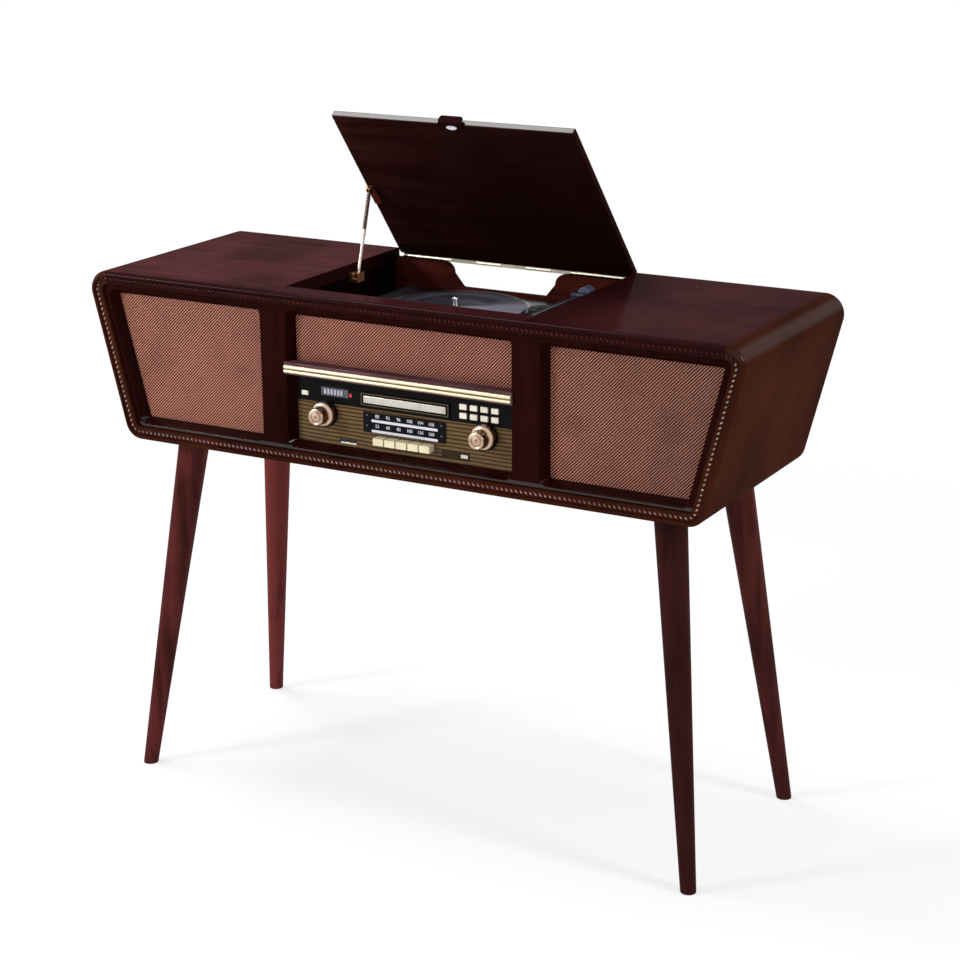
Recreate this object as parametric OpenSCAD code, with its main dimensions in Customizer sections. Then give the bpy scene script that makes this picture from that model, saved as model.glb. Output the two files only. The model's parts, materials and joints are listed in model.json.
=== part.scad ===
// Standing record player: a slant sided cabinet on four splayed legs, with a lidded
// turntable well, two speakers and a radio panel with a disc tray.
// Millimetres, +Z up. The origin is on the floor under the middle of the cabinet.
// The front faces -Y. The lid is drawn open, as it stands propped.

/* [Cabinet] */
// Width across the top of the cabinet, before its corners are rounded
cab_w_top = 1000; // [990:1:1030]
// Width across the underside of the cabinet, before its corners are rounded
cab_w_bottom = 878; // [870:1:886]
// Height of the cabinet without its legs
cab_h = 236; // [234:1:244]
// Depth of the cabinet from front to back
cab_d = 334; // [332:1:338]
// Thickness of the outer boards
wall = 18; // [17:0.5:20]
// Outer radius of the two top corners
top_corner_r = 27; // [24:0.5:32]
// Outer radius of the two bottom corners
bottom_corner_r = 26; // [24:0.5:32]

/* [Rim] */
// Radius that rounds the front edge of the boards
rim_round = 6; // [4:0.5:6]
// Depth of the seat behind the front edge that holds the rope moulding
rope_seat = 2.5; // [1.5:0.1:3.5]
// Radius of the half round rope moulding
rope_r = 5.2; // [4:0.1:5.4]

/* [Legs] */
// Height of the cabinet's underside above the floor
leg_h = 495; // [300:5:650]
// Radius of a leg at the floor
leg_foot_r = 10.5; // [8:0.5:10.5]
// Radius of a leg at the cabinet
leg_top_r = 22; // [16:0.5:26]
// Distance of a foot from the middle, to the side
leg_foot_x = 432; // [400:1:450]
// Distance of a foot from the middle, to the front or back
leg_foot_y = 163.6; // [163:0.1:175]
// Distance of a leg's top from the middle, to the side
leg_top_x = 369.3; // [340:1:375]
// Distance of a leg's top from the middle, to the front or back
leg_top_y = 103.1; // [80:1:110]

/* [Front] */
// How far the speaker board lies behind the front edge
baffle_recess = 7; // [6.5:0.5:9]
// Thickness of the speaker board
baffle_t = 15; // [12:0.5:15]
// How far each side of a window slopes inwards through the board
window_splay = 8; // [5:0.5:9]
// Corner radius of the windows at the front of the board
window_r = 11; // [10:0.5:14]
// Lower edge of the windows above the cabinet's underside
window_low = 22; // [21:0.5:22.5]
// Upper edge of the windows below the top of the cabinet
window_top_gap = 25; // [22:0.5:28]
// Width of the middle window
centre_window_w = 344; // [344:1:350]
// Distance from the middle to the inner edge of a speaker window
speaker_inner_x = 212; // [206:1:220]
// Thickness of the boards that carry the grille cloth
cloth_t = 5; // [4:0.5:5]
// How far the shelf and its brass moulding reach past each side of the middle window
shelf_over = 1.5; // [1:0.5:5]

/* [Radio] */
// Middle of the radio panel, to the right of the cabinet's middle
radio_x = 3; // [2:0.5:4]
// Thickness of the radio's front plate
fascia_t = 4; // [3:0.5:4]
// Distance of each knob from the middle of the panel
knob_dx = 122.5; // [121:0.5:124]
// Height of the knobs above the cabinet's underside
knob_h = 72.7; // [71:0.1:74]
// Radius of a knob's skirt
knob_r = 17.3; // [15:0.1:18]
// Length of a knob from the plate to its front face
knob_l = 28; // [24:0.5:30]
// Distance between the five keys
key_pitch = 17.8; // [17.4:0.1:18.2]
// Travel of a key
key_travel = 3; // [2:0.1:3]
// Distance between the small buttons in a row
preset_pitch = 15.7; // [14:0.1:16]
// Travel of a small button
button_travel = 1.2; // [0.8:0.1:1.3]
// Width of the disc tray's front
tray_w = 126; // [124:0.5:127]
// How far the disc tray slides out
tray_travel = 135; // [120:1:140]

/* [Turntable] */
// Distance of the record spindle from the middle, to the left
spindle_left = 13; // [10:0.5:16]
// Distance of the record spindle behind the middle
spindle_back = 20; // [18:0.5:22]
// Radius of the platter
platter_r = 104; // [100:0.5:105]
// Radius of the record spindle above the mat
spindle_r = 3.55; // [3.4:0.01:3.6]
// Depth of the deck plate below the cabinet's top
deck_drop = 51.5; // [51:0.5:52.5]
// Depth of the well's floor below the cabinet's top
well_drop = 70; // [69:0.5:72]
// Length of the tonearm from its pivot to the stylus
arm_l = 186; // [180:0.5:188]

/* [Lid] */
// Half the width of the lid
lid_half_w = 188; // [184:0.5:189]
// Thickness of the lid
lid_t = 10; // [9:0.5:10]
// Angle of the open lid above its closed place
lid_open = 50.6; // [44:0.1:60]
// Length of the stay rod from its pin to its end
stay_l = 131; // [128:0.5:132]

/* [Hidden] */
$fn = 72;

// Clearance between pieces that slide or turn past each other
gap = 0.3;
// Radial clearance of a shaft that turns in its bore
run_fit = 0.05;
// Clearance of boards that drop in between the outer boards
board_gap = 0.2;
// Overshoot of a cutting shape past the face that it opens
over = 1;

front_y = -cab_d / 2;
rear_y = cab_d / 2;
slope = atan((cab_w_top - cab_w_bottom) / 2 / cab_h);

// Half width of the cabinet at a height, a distance inside its outer face
function half_w(height, inset) =
    cab_w_bottom / 2 + (cab_w_top - cab_w_bottom) / 2 * height / cab_h - inset / cos(slope);

top_centre = [half_w(cab_h - top_corner_r, top_corner_r), cab_h - top_corner_r];
bottom_centre = [half_w(bottom_corner_r, bottom_corner_r), bottom_corner_r];

// Point on the sloping side that a corner of this centre and radius meets
function side_point(centre, r) = centre + r * [cos(slope), -sin(slope)];

// Same point on the left of the cabinet
function flip(p) = [-p.x, p.y];

// Direction from one point to another
function heading(p, q) = (q - p) / norm(q - p);

// Point moved out of an anticlockwise outline, past the edge from p to q
function outward(p, q, r) = r * [heading(p, q).y, -heading(p, q).x];

// Turn in the YZ plane, about X
function turned(v, angle) =
    [v.x * cos(angle) - v.y * sin(angle), v.x * sin(angle) + v.y * cos(angle)];

// Moulding of the boards' front edge
rope_u = 11.7;
rope_w = 5.5;
band_w = 6.4;
rear_round = 3;

// Speaker board, grilles and radio, by their front faces
baffle_y = front_y + baffle_recess;
cloth_y = baffle_y + baffle_t;
window_margin = 24.7;
window_high = cab_h - window_top_gap;
cloth_lap = 6;
window_back_r = window_r - window_splay;

// Shelf bar and its brass moulding
shelf_w = centre_window_w + 2 * shelf_over;
shelf_low = 124;
shelf_high = 141;
shelf_front_y = front_y + 3.8;
trim_r = 2.8;
trim_low = 128.4;
trim_pitch = 5.8;

// Radio plate and what stands on it
fascia_lap = 3;
fascia_half_w = centre_window_w / 2 - window_splay + fascia_lap;
fascia_low = 26;
fascia_high = shelf_low - gap;
fascia_rear_y = cloth_y + fascia_t;
bezel_t = 2;
bezel_w = 137;
bezel_low = 90;
bezel_high = 109.5;
tray_h = 10;
tray_mid = 99.7;
tray_body_w = 122;
tray_kept = 17;
tray_l = tray_travel + tray_kept;
tray_body_t = 6;
disc_r = 60.5;
disc_depth = 3;
knob_disc_r = 19.2;
knob_disc_t = 1.2;
knob_front_r = 12;
knob_skirt_l = 13;
shaft_r = 3;
shaft_l = 18;
dial_w = 126;
dial_low = 54.8;
dial_high = 82.6;
dial_t = 2;
key_w = 15.4;
key_low = 41.5;
key_height = 9.5;
key_out = 13;
key_lead = 1.5;
preset_x = 89.7;
preset_rows = [108, 96];
preset_size = [10.5, 7.5];
button_proud = 0.8;
preset_out = button_travel + button_proud;
power_inset = 17;
power_x = power_inset - centre_window_w / 2;
power_height = 97;
power_size = [10, 6];
flange_t = 1;
flange_lap = 1.2;
screen_x = -108.5;
screen_size = [43, 12];
screen_height = 102.5;
slot_x = -88.5;
slot_height = 37.5;
slot_size = [25, 2.6];
socket_plate_x = 73;
socket_plate_size = [52, 12];
socket_height = 40.5;
jack_r = 1.75;
jack_x = 73;

// Chassis behind the radio plate
chassis_t = 2;
chassis_low = wall;
board_clear = 6;
board_y = fascia_rear_y + key_travel + board_clear;
board_t = 2;
mech_gap = 0.5;
mech_wall = 2.5;
mech_spare = 23;
mech_rear_y = cloth_y + tray_l + mech_spare;
mech_high = 113;
mech_half_w = tray_body_w / 2 + 4;
bracket_front_y = board_y + board_t + 4;
chassis_half_w = 150;
chassis_rear_y = 90;
board_high = 84;
transformer_half_w = 45;
transformer_front_y = 42;
transformer_l = 42;
transformer_h = 48;
control_r = 8;

// Well, deck and platter, all heights above the cabinet's underside
well_half_w = 190.5;
well_wall = 9;
well_front_y = front_y + 33;
well_front_t = 5.7;
well_floor_t = 9;
well_floor = cab_h - well_drop;
deck_top = cab_h - deck_drop;
deck_t = 4;
deck_left = -168;
deck_right = 187;
deck_front_y = well_front_y + 3;
deck_corner_r = 8;
deck_rear_gap = 3.5;
deck_post_inset = 14;
post_r = 8;
spindle_x = -spindle_left;
spindle_y = spindle_back;
platter_top = deck_top + 10.5;
platter_web = 3.5;
platter_rim_h = 8;
hub_r = 12;
hub_h = 8.3;
ring_r = 62;
ring_t = 4;
mat_r = 98;
mat_t = 2.5;
label_r = 50;
label_depth = 0.8;
spindle_rise = 13;
bearing_r = 4;
spindle_flange_r = 9;
motor_dist = 80;
motor_angle = 140;
motor_x = spindle_x + motor_dist * cos(motor_angle);
motor_y = spindle_y + motor_dist * sin(motor_angle);
motor_r = 16.5;
motor_h = 24;
motor_shaft_r = 1;
pulley_r = 6;
belt_t = 1;
belt_h = 3;
belt_low = deck_top + 3.3;

// Tonearm
arm_dx = 149;
arm_dy = 78;
arm_rise = 26.5;
arm_x = spindle_x + arm_dx;
arm_y = spindle_y + arm_dy;
arm_top = deck_top + arm_rise;
turret_r = 17;
turret_h = 9;
turret_neck_r = 12;
turret_neck_h = 14.5;
yoke_shaft_r = 3;
yoke_r = 11;
yoke_t = 3.2;
ear_t = 2.6;
ear_in = 7.6;
ear_w = 9;
axle_r = 1;
tube_r = 2.6;
weight_r = 9;
weight_l = 18;
weight_near = 14;
shell_l = 36;
shell_w = 15;
shell_t = 4;
stylus_drop = 11.8;
rest_dy = 143;
rest_y = arm_y - rest_dy;
adapter_x = spindle_x + 125;
adapter_y = spindle_y + 16;
adapter_r = 18.7;
lever_x = spindle_x + 175;
lever_y = spindle_y - 40;
lever_r = 6;
lever_l = 20;

// Lid, hinge and stay, in depth and height with the lid closed
opening_front_y = front_y + 37;
lid_front_y = opening_front_y + 4;
lid_rear_y = rear_y - 2.7;
back_t = 9;
back_rear_y = rear_y - 2.5;
back_front_y = back_rear_y - back_t;
deck_rear_y = back_front_y - deck_rear_gap;
axis_y = rear_y + 0.8;
axis_drop = lid_t + 0.8;
axis_h = cab_h - axis_drop;
leaf_t = 0.7;
leaf_gap = 0.1;
knuckle_r = 3;
knuckle_pin_r = 1.2;
knuckle_count = 9;
leaf_from = -182;
leaf_to = 178;
knuckle_pitch = (leaf_to - leaf_from) / knuckle_count;
lid_leaf_w = 22;
back_edge = axis_h - leaf_gap - leaf_t;
notch_low = cab_h - 46;
notch_base = 64;
notch_half = 82;
notch_r = 6;
notch_lean = 50;
shoulder_r = 16;
strip_reach = 20;
strip_h = 4;
pull_w = 35;
pull_x = 2.5;
pull_t = 2;
pull_reach = 11;
stay_x = -180;
stay_pin_out = 145.8;
stay_pin_drop = 15;
stay_pin_closed = [axis_y - stay_pin_out, cab_h - stay_pin_drop];
stay_pin_r = 1;
stay_eye_r = 3.2;
stay_eye_t = 3;
stay_ear_t = 1.5;
stay_plate_t = 1.5;
stay_plate_l = 38;
stay_sleeve_r = 2.75;
stay_rod_r = 2.25;
stay_neck_l = 6;
stay_sleeve_share = 0.45;
cradle_out = 130.8;
cradle_y = axis_y - cradle_out;
cradle_drop = 17.6;
cradle_half = 3.1;
stay_axis = [axis_y, axis_h];
stay_pin = stay_axis + turned(stay_pin_closed - stay_axis, -lid_open);
cradle_point = [cradle_y, cab_h - cradle_drop];
stay_aim = cradle_point - stay_pin;
stay_angle = atan2(stay_aim.y, stay_aim.x);

// Speakers and rear plate
speaker_x = 332;
speaker_height = 116;
speaker_r = 76;
cone_r = 18;
cone_depth = 40;
basket_depth = 8;
basket_rim = 8;
magnet_r = 38;
magnet_front = 46;
magnet_rear = 62;
terminal_x = 0;
terminal_height = 70;
terminal_size = [130, 42];
terminal_t = 2;
line_r = 4.2;
line_bore_r = 1.6;
line_l = 6;
line_x = [-46, -28];
line_rise = [-9, 9];
inlet_x = 42;
inlet_size = [24, 17];
inlet_well = [19, 12];
inlet_tongue = [11, 5];
inlet_l = 6;

// Rounds an anticlockwise convex outline, whose points are the corners' centres
module rounded(points, r) {
    count = len(points);
    polygon(points);
    for (i = [0 : count - 1]) {
        p = points[i];
        q = points[(i + 1) % count];
        translate(p) circle(r);
        polygon([p, p + outward(p, q, r), q + outward(p, q, r), q]);
    }
}

// Upright board: its outline is in X and in height above the cabinet's underside
module upright(from_y, thick) {
    translate([0, from_y + thick, leg_h])
        rotate([90, 0, 0])
            linear_extrude(thick) children();
}

// Block between two corners, its heights above the cabinet's underside
module block(low, high) {
    translate([low.x, low.y, leg_h + low.z])
        cube(high - low);
}

// Upright round rod, its heights above the cabinet's underside
module post(at, r, low, high) {
    translate([at.x, at.y, leg_h + low])
        cylinder(h = high - low, r = r);
}

// Round rod that lies along Y
module rod_y(at_x, height, r, from_y, to_y) {
    translate([at_x, to_y, leg_h + height])
        rotate([90, 0, 0])
            cylinder(h = to_y - from_y, r = r);
}

// Round rod that lies along X
module rod_x(at_y, height, r, from_x, to_x) {
    translate([from_x, at_y, leg_h + height])
        rotate([0, 90, 0])
            cylinder(h = to_x - from_x, r = r);
}

// Section of the outer boards: distance in from the outer face, then depth from the front
module rim_profile() {
    difference() {
        union() {
            translate([rim_round, 0]) square([wall - rim_round, cab_d]);
            translate([0, rim_round]) square([rim_round, cab_d - rim_round - rear_round]);
            translate([rear_round, cab_d - rim_round]) square([rim_round, rim_round]);
            translate([rim_round, rim_round]) circle(rim_round);
            translate([rear_round, cab_d - rear_round]) circle(rear_round);
        }
        translate([band_w, -over]) square([wall, rope_seat + over]);
    }
    intersection() {
        translate([rope_u, rope_w]) circle(rope_r);
        square([wall, cab_d]);
    }
}

// Straight board along the outline from p to q
module rim_run(p, q) {
    t = heading(p, q);
    multmatrix([[-t.y, 0, -t.x, q.x],
                [0, 1, 0, front_y],
                [t.x, 0, -t.y, leg_h + q.y],
                [0, 0, 0, 1]])
        linear_extrude(norm(q - p)) rim_profile();
}

// Points of the same section as the boards', as a list that a bent board can follow
function rim_points() =
    let (seat_angle = asin((rope_w - rope_seat) / rope_r), steps = 6)
    concat([for (i = [0 : steps])
                let (a = 90 * i / steps)
                [rim_round * (1 - cos(a)), rim_round * (1 - sin(a))]],
           [[band_w, 0], [band_w, rope_seat]],
           [for (i = [0 : steps])
                let (a = seat_angle + (180 - 2 * seat_angle) * i / steps)
                [rope_u - rope_r * cos(a), rope_w - rope_r * sin(a)]],
           [[wall, rope_seat], [wall, cab_d]],
           [for (i = [0 : steps / 2])
                let (a = 180 * i / steps)
                [rear_round * (1 - sin(a)), cab_d - rear_round * (1 - cos(a))]]);

// Angles of the stations round one bend
function bend_angles(from_angle, to_angle, steps) =
    [for (i = [0 : steps]) from_angle + (to_angle - from_angle) * i / steps];

// Board that runs round the bottom corner, up the slanted side and round the top corner
module side_board() {
    section = rim_points();
    count = len(section);
    stations = concat(
        [for (a = bend_angles(-90, -slope, 10)) [bottom_centre, bottom_corner_r, a]],
        [for (a = bend_angles(-slope, 90, 14)) [top_centre, top_corner_r, a]]);
    last = len(stations) - 1;
    points = [for (s = stations, p = section)
        [s[0].x + (s[1] - p.x) * cos(s[2]), front_y + p.y, leg_h + s[0].y + (s[1] - p.x) * sin(s[2])]];
    sides = [for (i = [0 : last - 1], j = [0 : count - 1])
        let (k = (j + 1) % count)
        [i * count + j, (i + 1) * count + j, (i + 1) * count + k, i * count + k]];
    polyhedron(points, concat(sides,
        [[for (j = [0 : count - 1]) j], [for (j = [count - 1 : -1 : 0]) last * count + j]]));
}

// Outline of what fits inside the outer boards
module inner_outline(inset) {
    top_r = top_corner_r - inset;
    bottom_r = bottom_corner_r - inset;
    right = [[bottom_centre.x, inset], side_point(bottom_centre, bottom_r),
             side_point(top_centre, top_r), [top_centre.x, cab_h - inset]];
    polygon([for (p = right) p, for (i = [3 : -1 : 0]) flip(right[i])]);
    for (side = [-1, 1]) {
        translate([side * bottom_centre.x, bottom_centre.y]) circle(bottom_r);
        translate([side * top_centre.x, top_centre.y]) circle(top_r);
    }
}

module right_side_panel() {
    color("#3a1010") side_board();
}

module left_side_panel() {
    color("#3a1010") mirror([1, 0, 0]) side_board();
}

module bottom_panel() {
    color("#3a1010")
        difference() {
            rim_run([-bottom_centre.x, 0], [bottom_centre.x, 0]);
            leg_plate_set(board_gap);
        }
}

module top_panel() {
    color("#3a1010")
        difference() {
            rim_run([top_centre.x, cab_h], [-top_centre.x, cab_h]);
            block([-well_half_w, opening_front_y, cab_h - wall - over],
                  [well_half_w, rear_y + over, cab_h + over]);
        }
}

// One side of the notch from its flat bottom to the top edge: a rounded corner,
// a leaning side and a rounded shoulder
function notch_side(side) = concat(
    [for (a = [0:notch_lean / 5:notch_lean])
        [side * (notch_base + notch_r * sin(a)), notch_low + notch_r * (1 - cos(a))]],
    [for (a = [0:15:90])
        [side * (notch_half + shoulder_r * (1 - cos(a))), back_edge - shoulder_r * (1 - sin(a))]],
    [[side * (notch_half + shoulder_r), back_edge + over]]);

// Cut in the back panel behind the platter
module notch_outline() {
    left = notch_side(-1);
    translate([spindle_x, 0])
        polygon(concat(notch_side(1), [for (i = [len(left) - 1:-1:0]) left[i]]));
}

module back_panel() {
    color("#2c0d0d")
        difference() {
            union() {
                upright(back_front_y, back_t) inner_outline(wall + board_gap);
                block([-well_half_w + board_gap, back_front_y, cab_h - wall - over],
                      [well_half_w - board_gap, back_rear_y, back_edge]);
            }
            upright(back_front_y - over, back_t + 2 * over) notch_outline();
        }
}

// Corner centres of a speaker window on the right of the cabinet
function speaker_window(r) =
    [[speaker_inner_x + r, window_low + r],
     [half_w(window_low + r, window_margin + r), window_low + r],
     [half_w(window_high - r, window_margin + r), window_high - r],
     [speaker_inner_x + r, window_high - r]];

// Corner centres of the middle window
function centre_window(r) =
    [[-centre_window_w / 2 + r, window_low + r], [centre_window_w / 2 - r, window_low + r],
     [centre_window_w / 2 - r, window_high - r], [-centre_window_w / 2 + r, window_high - r]];

// Cut for a window whose sides slope in towards the back of the board
module window_cut(points) {
    count = len(points);
    lean = window_splay / baffle_t;
    rear_r = window_back_r - lean * over;
    fore_r = window_r + lean * over;
    depth = baffle_t + 2 * over;
    translate([0, cloth_y + over, leg_h])
        rotate([90, 0, 0]) {
            linear_extrude(depth) polygon(points);
            for (i = [0 : count - 1]) {
                p = points[i];
                q = points[(i + 1) % count];
                t = heading(p, q);
                translate([p.x, p.y, 0]) cylinder(h = depth, r1 = rear_r, r2 = fore_r);
                multmatrix([[t.y, 0, -t.x, q.x],
                            [-t.x, 0, -t.y, q.y],
                            [0, 1, 0, 0],
                            [0, 0, 0, 1]])
                    linear_extrude(norm(q - p))
                        polygon([[-over, 0], [rear_r, 0], [fore_r, depth], [-over, depth]]);
            }
        }
}

module front_baffle() {
    color("#260a0a")
        difference() {
            upright(baffle_y, baffle_t) inner_outline(wall + board_gap);
            window_cut(speaker_window(window_r));
            mirror([1, 0, 0]) window_cut(speaker_window(window_r));
            window_cut(centre_window(window_r));
        }
}

module speaker_cloth() {
    upright(cloth_y, cloth_t) rounded(speaker_window(window_r), window_back_r + cloth_lap);
}

module right_grille_cloth() {
    color("#a3674a") speaker_cloth();
}

module left_grille_cloth() {
    color("#a3674a") mirror([1, 0, 0]) speaker_cloth();
}

module centre_grille_cloth() {
    half = centre_window_w / 2 - window_splay + cloth_lap;
    color("#a3674a")
        block([-half, cloth_y, shelf_low + gap], [half, cloth_y + cloth_t, window_high - 2]);
}

// Bar between the radio and the grille above it, with ends cut to the window's slope
module shelf_bar() {
    front_half = centre_window_w / 2 - board_gap;
    back_half = front_half - window_splay;
    nose = shelf_w / 2;
    color("#3a1010")
        translate([0, 0, leg_h + shelf_low])
            linear_extrude(shelf_high - shelf_low)
                polygon([[-back_half, cloth_y], [-front_half, baffle_y],
                         [-nose, baffle_y], [-nose, shelf_front_y],
                         [nose, shelf_front_y], [nose, baffle_y],
                         [front_half, baffle_y], [back_half, cloth_y]]);
}

module gold_trim() {
    nose = shelf_w / 2 - 1;
    color("#b98c3c")
        difference() {
            for (i = [0, 1])
                rod_x(shelf_front_y, trim_low + i * trim_pitch, trim_r, -nose, nose);
            block([-nose - over, shelf_front_y, shelf_low - over],
                  [nose + over, shelf_front_y + 2 * trim_r, shelf_high + over]);
        }
}

// Leg that leans out to one corner
module leg(side, end) {
    foot = [side * leg_foot_x, end * leg_foot_y, 0];
    head = [side * leg_top_x, end * leg_top_y, leg_h];
    along = head - foot;
    tilt = acos(along.z / norm(along));
    swing = atan2(along.y, along.x);
    taper = (leg_top_r - leg_foot_r) / norm(along);
    spare = 12;
    reach = 100;
    color("#3a1010")
        intersection() {
            translate(foot)
                rotate([0, tilt, swing])
                    translate([0, 0, -spare])
                        rotate([0, 0, 90])
                            cylinder(h = norm(along) + 2 * spare,
                                     r1 = leg_foot_r - taper * spare,
                                     r2 = leg_top_r + taper * spare);
            translate([foot.x - side * reach / 2 - reach, foot.y - end * reach / 2 - reach, 0])
                cube([2 * reach, 2 * reach, leg_h]);
        }
}

module leg_front_left() {
    leg(-1, -1);
}

module leg_front_right() {
    leg(1, -1);
}

module leg_rear_left() {
    leg(-1, 1);
}

module leg_rear_right() {
    leg(1, 1);
}

// Threaded plates let into the underside, one over each leg
module leg_plate_set(grow) {
    half = 30 + grow;
    thick = 3;
    boss_r = 7 + grow;
    boss_h = 13;
    for (side = [-1, 1], end = [-1, 1]) {
        at = [side * leg_top_x, end * leg_top_y];
        block([at.x - half, at.y - half, -grow], [at.x + half, at.y + half, thick]);
        post(at, boss_r, 0, boss_h + grow);
    }
}

module leg_plates() {
    color("#8d8d90") leg_plate_set(0);
}

module turntable_well() {
    out_x = well_half_w + well_wall;
    color("#241010")
        difference() {
            block([-out_x, well_front_y - well_front_t, well_floor - well_floor_t],
                  [out_x, back_front_y, cab_h - wall]);
            block([-well_half_w, well_front_y, well_floor],
                  [well_half_w, back_front_y + over, cab_h]);
            post([motor_x, motor_y], motor_r + 2, 0, cab_h);
            post([spindle_x, spindle_y], hub_r, 0, cab_h);
        }
}

// Corner places of the deck's posts
deck_posts = [for (x = [deck_left + deck_post_inset, deck_right - deck_post_inset],
                   y = [deck_front_y + deck_post_inset, deck_rear_y - deck_post_inset])
    [x, y]];

module deck_plate() {
    r = deck_corner_r;
    color("#17171a") {
        difference() {
            translate([0, 0, leg_h + deck_top - deck_t])
                linear_extrude(deck_t)
                    rounded([[deck_left + r, deck_front_y + r], [deck_right - r, deck_front_y + r],
                             [deck_right - r, deck_rear_y - r], [deck_left + r, deck_rear_y - r]], r);
            post([spindle_x, spindle_y], bearing_r + run_fit, 0, cab_h);
            post([motor_x, motor_y], 4, 0, cab_h);
            post([arm_x, arm_y], yoke_shaft_r + 1, 0, cab_h);
        }
        for (p = deck_posts)
            post(p, post_r, well_floor, deck_top - deck_t);
        // Rest that the tonearm is parked on
        block([arm_x - 6, rest_y - 3, arm_top - tube_r - 3.4],
              [arm_x + 8, rest_y + 3, arm_top - tube_r - 0.4]);
        block([arm_x + 4, rest_y - 3, deck_top - over], [arm_x + 8, rest_y + 3, arm_top + 2]);
        // Stand that keeps the adapter for large holed records
        post([adapter_x, adapter_y], adapter_r, deck_top - over, deck_top + 19.5);
        post([adapter_x, adapter_y], adapter_r / 3, deck_top, deck_top + 21.5);
    }
}

module platter() {
    color("#8b8a97")
        translate([spindle_x, spindle_y, leg_h + platter_top])
            rotate_extrude()
                polygon([[bearing_r + run_fit, 0], [platter_r - 1.5, 0], [platter_r, -1.5],
                         [platter_r, -platter_rim_h], [platter_r - 5, -platter_rim_h],
                         [platter_r - 7, -platter_web], [ring_r, -platter_web],
                         [ring_r, -hub_h], [ring_r - ring_t, -hub_h],
                         [ring_r - ring_t, -platter_web], [hub_r, -platter_web],
                         [hub_r, -hub_h], [bearing_r + run_fit, -hub_h]]);
}

module slip_mat() {
    color("#26262b")
        translate([spindle_x, spindle_y, leg_h + platter_top])
            rotate_extrude()
                polygon([[bearing_r + run_fit, 0], [mat_r, 0], [mat_r, mat_t - 0.5],
                         [mat_r - 0.5, mat_t], [label_r, mat_t], [label_r, mat_t - label_depth],
                         [bearing_r + run_fit, mat_t - label_depth]]);
}

module spindle() {
    tip = platter_top + mat_t + spindle_rise;
    shoulder = platter_top + mat_t - label_depth;
    at = [spindle_x, spindle_y];
    color("#c9ccd0") {
        post(at, bearing_r, deck_top - deck_t - 4, shoulder);
        post(at, spindle_r, shoulder, tip - spindle_r);
        translate([spindle_x, spindle_y, leg_h + tip - spindle_r]) sphere(spindle_r);
        post(at, spindle_flange_r, deck_top, platter_top - hub_h - gap);
        post(at, spindle_flange_r, deck_top - deck_t - 4, deck_top - deck_t);
    }
}

module drive_motor() {
    at = [motor_x, motor_y];
    top = deck_top - deck_t;
    color("#9a9ca0") {
        post(at, motor_r, top - motor_h, top);
        post(at, motor_shaft_r, top, deck_top + 7);
    }
}

module motor_pulley() {
    color("#c8a44a")
        translate([motor_x, motor_y, leg_h + deck_top])
            rotate_extrude()
                polygon([[motor_shaft_r + run_fit, 2], [pulley_r + 1.6, 2], [pulley_r + 1.6, 2.7],
                         [pulley_r, 3], [pulley_r, 6.6], [motor_shaft_r + run_fit, 6.6]]);
}

// Outline of a belt round two wheels, the second one set off along X
module belt_loop(r1, r2, apart) {
    hull() {
        circle(r1, $fn = 96);
        translate([apart, 0]) circle(r2, $fn = 32);
    }
}

module drive_belt() {
    inner = gap;
    outer = gap + belt_t;
    color("#101012")
        translate([spindle_x, spindle_y, leg_h + belt_low])
            rotate([0, 0, motor_angle])
                linear_extrude(belt_h)
                    difference() {
                        belt_loop(ring_r + outer, pulley_r + outer, motor_dist);
                        belt_loop(ring_r + inner, pulley_r + inner, motor_dist);
                    }
}

module tonearm_turret() {
    at = [arm_x, arm_y];
    color("#1b1b1f")
        difference() {
            union() {
                post(at, turret_r, deck_top, deck_top + turret_h);
                post(at, turret_neck_r, deck_top, deck_top + turret_neck_h);
            }
            post(at, yoke_shaft_r + run_fit, deck_top - over, cab_h);
        }
}

module tonearm_yoke() {
    at = [arm_x, arm_y];
    disc_low = deck_top + turret_neck_h + gap;
    color("#7f8796")
        difference() {
            union() {
                post(at, yoke_shaft_r, deck_top + 1, disc_low);
                post(at, yoke_r, disc_low, disc_low + yoke_t);
                for (side = [-1, 1])
                    block([arm_x + side * (ear_in + ear_t / 2) - ear_t / 2, arm_y - ear_w / 2, disc_low],
                          [arm_x + side * (ear_in + ear_t / 2) + ear_t / 2, arm_y + ear_w / 2,
                           arm_top + 3.5]);
            }
            rod_x(arm_y, arm_top, axle_r + run_fit, arm_x - 2 * yoke_r, arm_x + 2 * yoke_r);
        }
}

module tonearm() {
    tip_y = arm_y - arm_l;
    shell_y = tip_y - 6;
    color("#b9bdc6") {
        rod_x(arm_y, arm_top, axle_r, arm_x - ear_in - ear_t, arm_x + ear_in + ear_t);
        block([arm_x - ear_in + gap, arm_y - 4, arm_top - 4],
              [arm_x + ear_in - gap, arm_y + 4, arm_top + 4]);
        rod_y(arm_x, arm_top, tube_r, shell_y + shell_l - over, arm_y + weight_near + weight_l + 4);
        block([arm_x - shell_w / 2, shell_y, arm_top - shell_t],
              [arm_x + shell_w / 2, shell_y + shell_l, arm_top]);
        block([arm_x - 4, tip_y - 3, arm_top - 9], [arm_x + 4, tip_y + 12, arm_top - shell_t]);
        post([arm_x, tip_y], 0.6, arm_top - stylus_drop, arm_top - 8);
        // Finger lift beside the head
        block([arm_x + shell_w / 2 - over, tip_y, arm_top - 2.5],
              [arm_x + shell_w / 2 + 11, tip_y + 4, arm_top - 1]);
    }
}

module counterweight() {
    near = arm_y + weight_near;
    color("#70798c")
        difference() {
            rod_y(arm_x, arm_top, weight_r, near, near + weight_l);
            rod_y(arm_x, arm_top, tube_r + run_fit, near - over, near + weight_l + over);
        }
}

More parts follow.
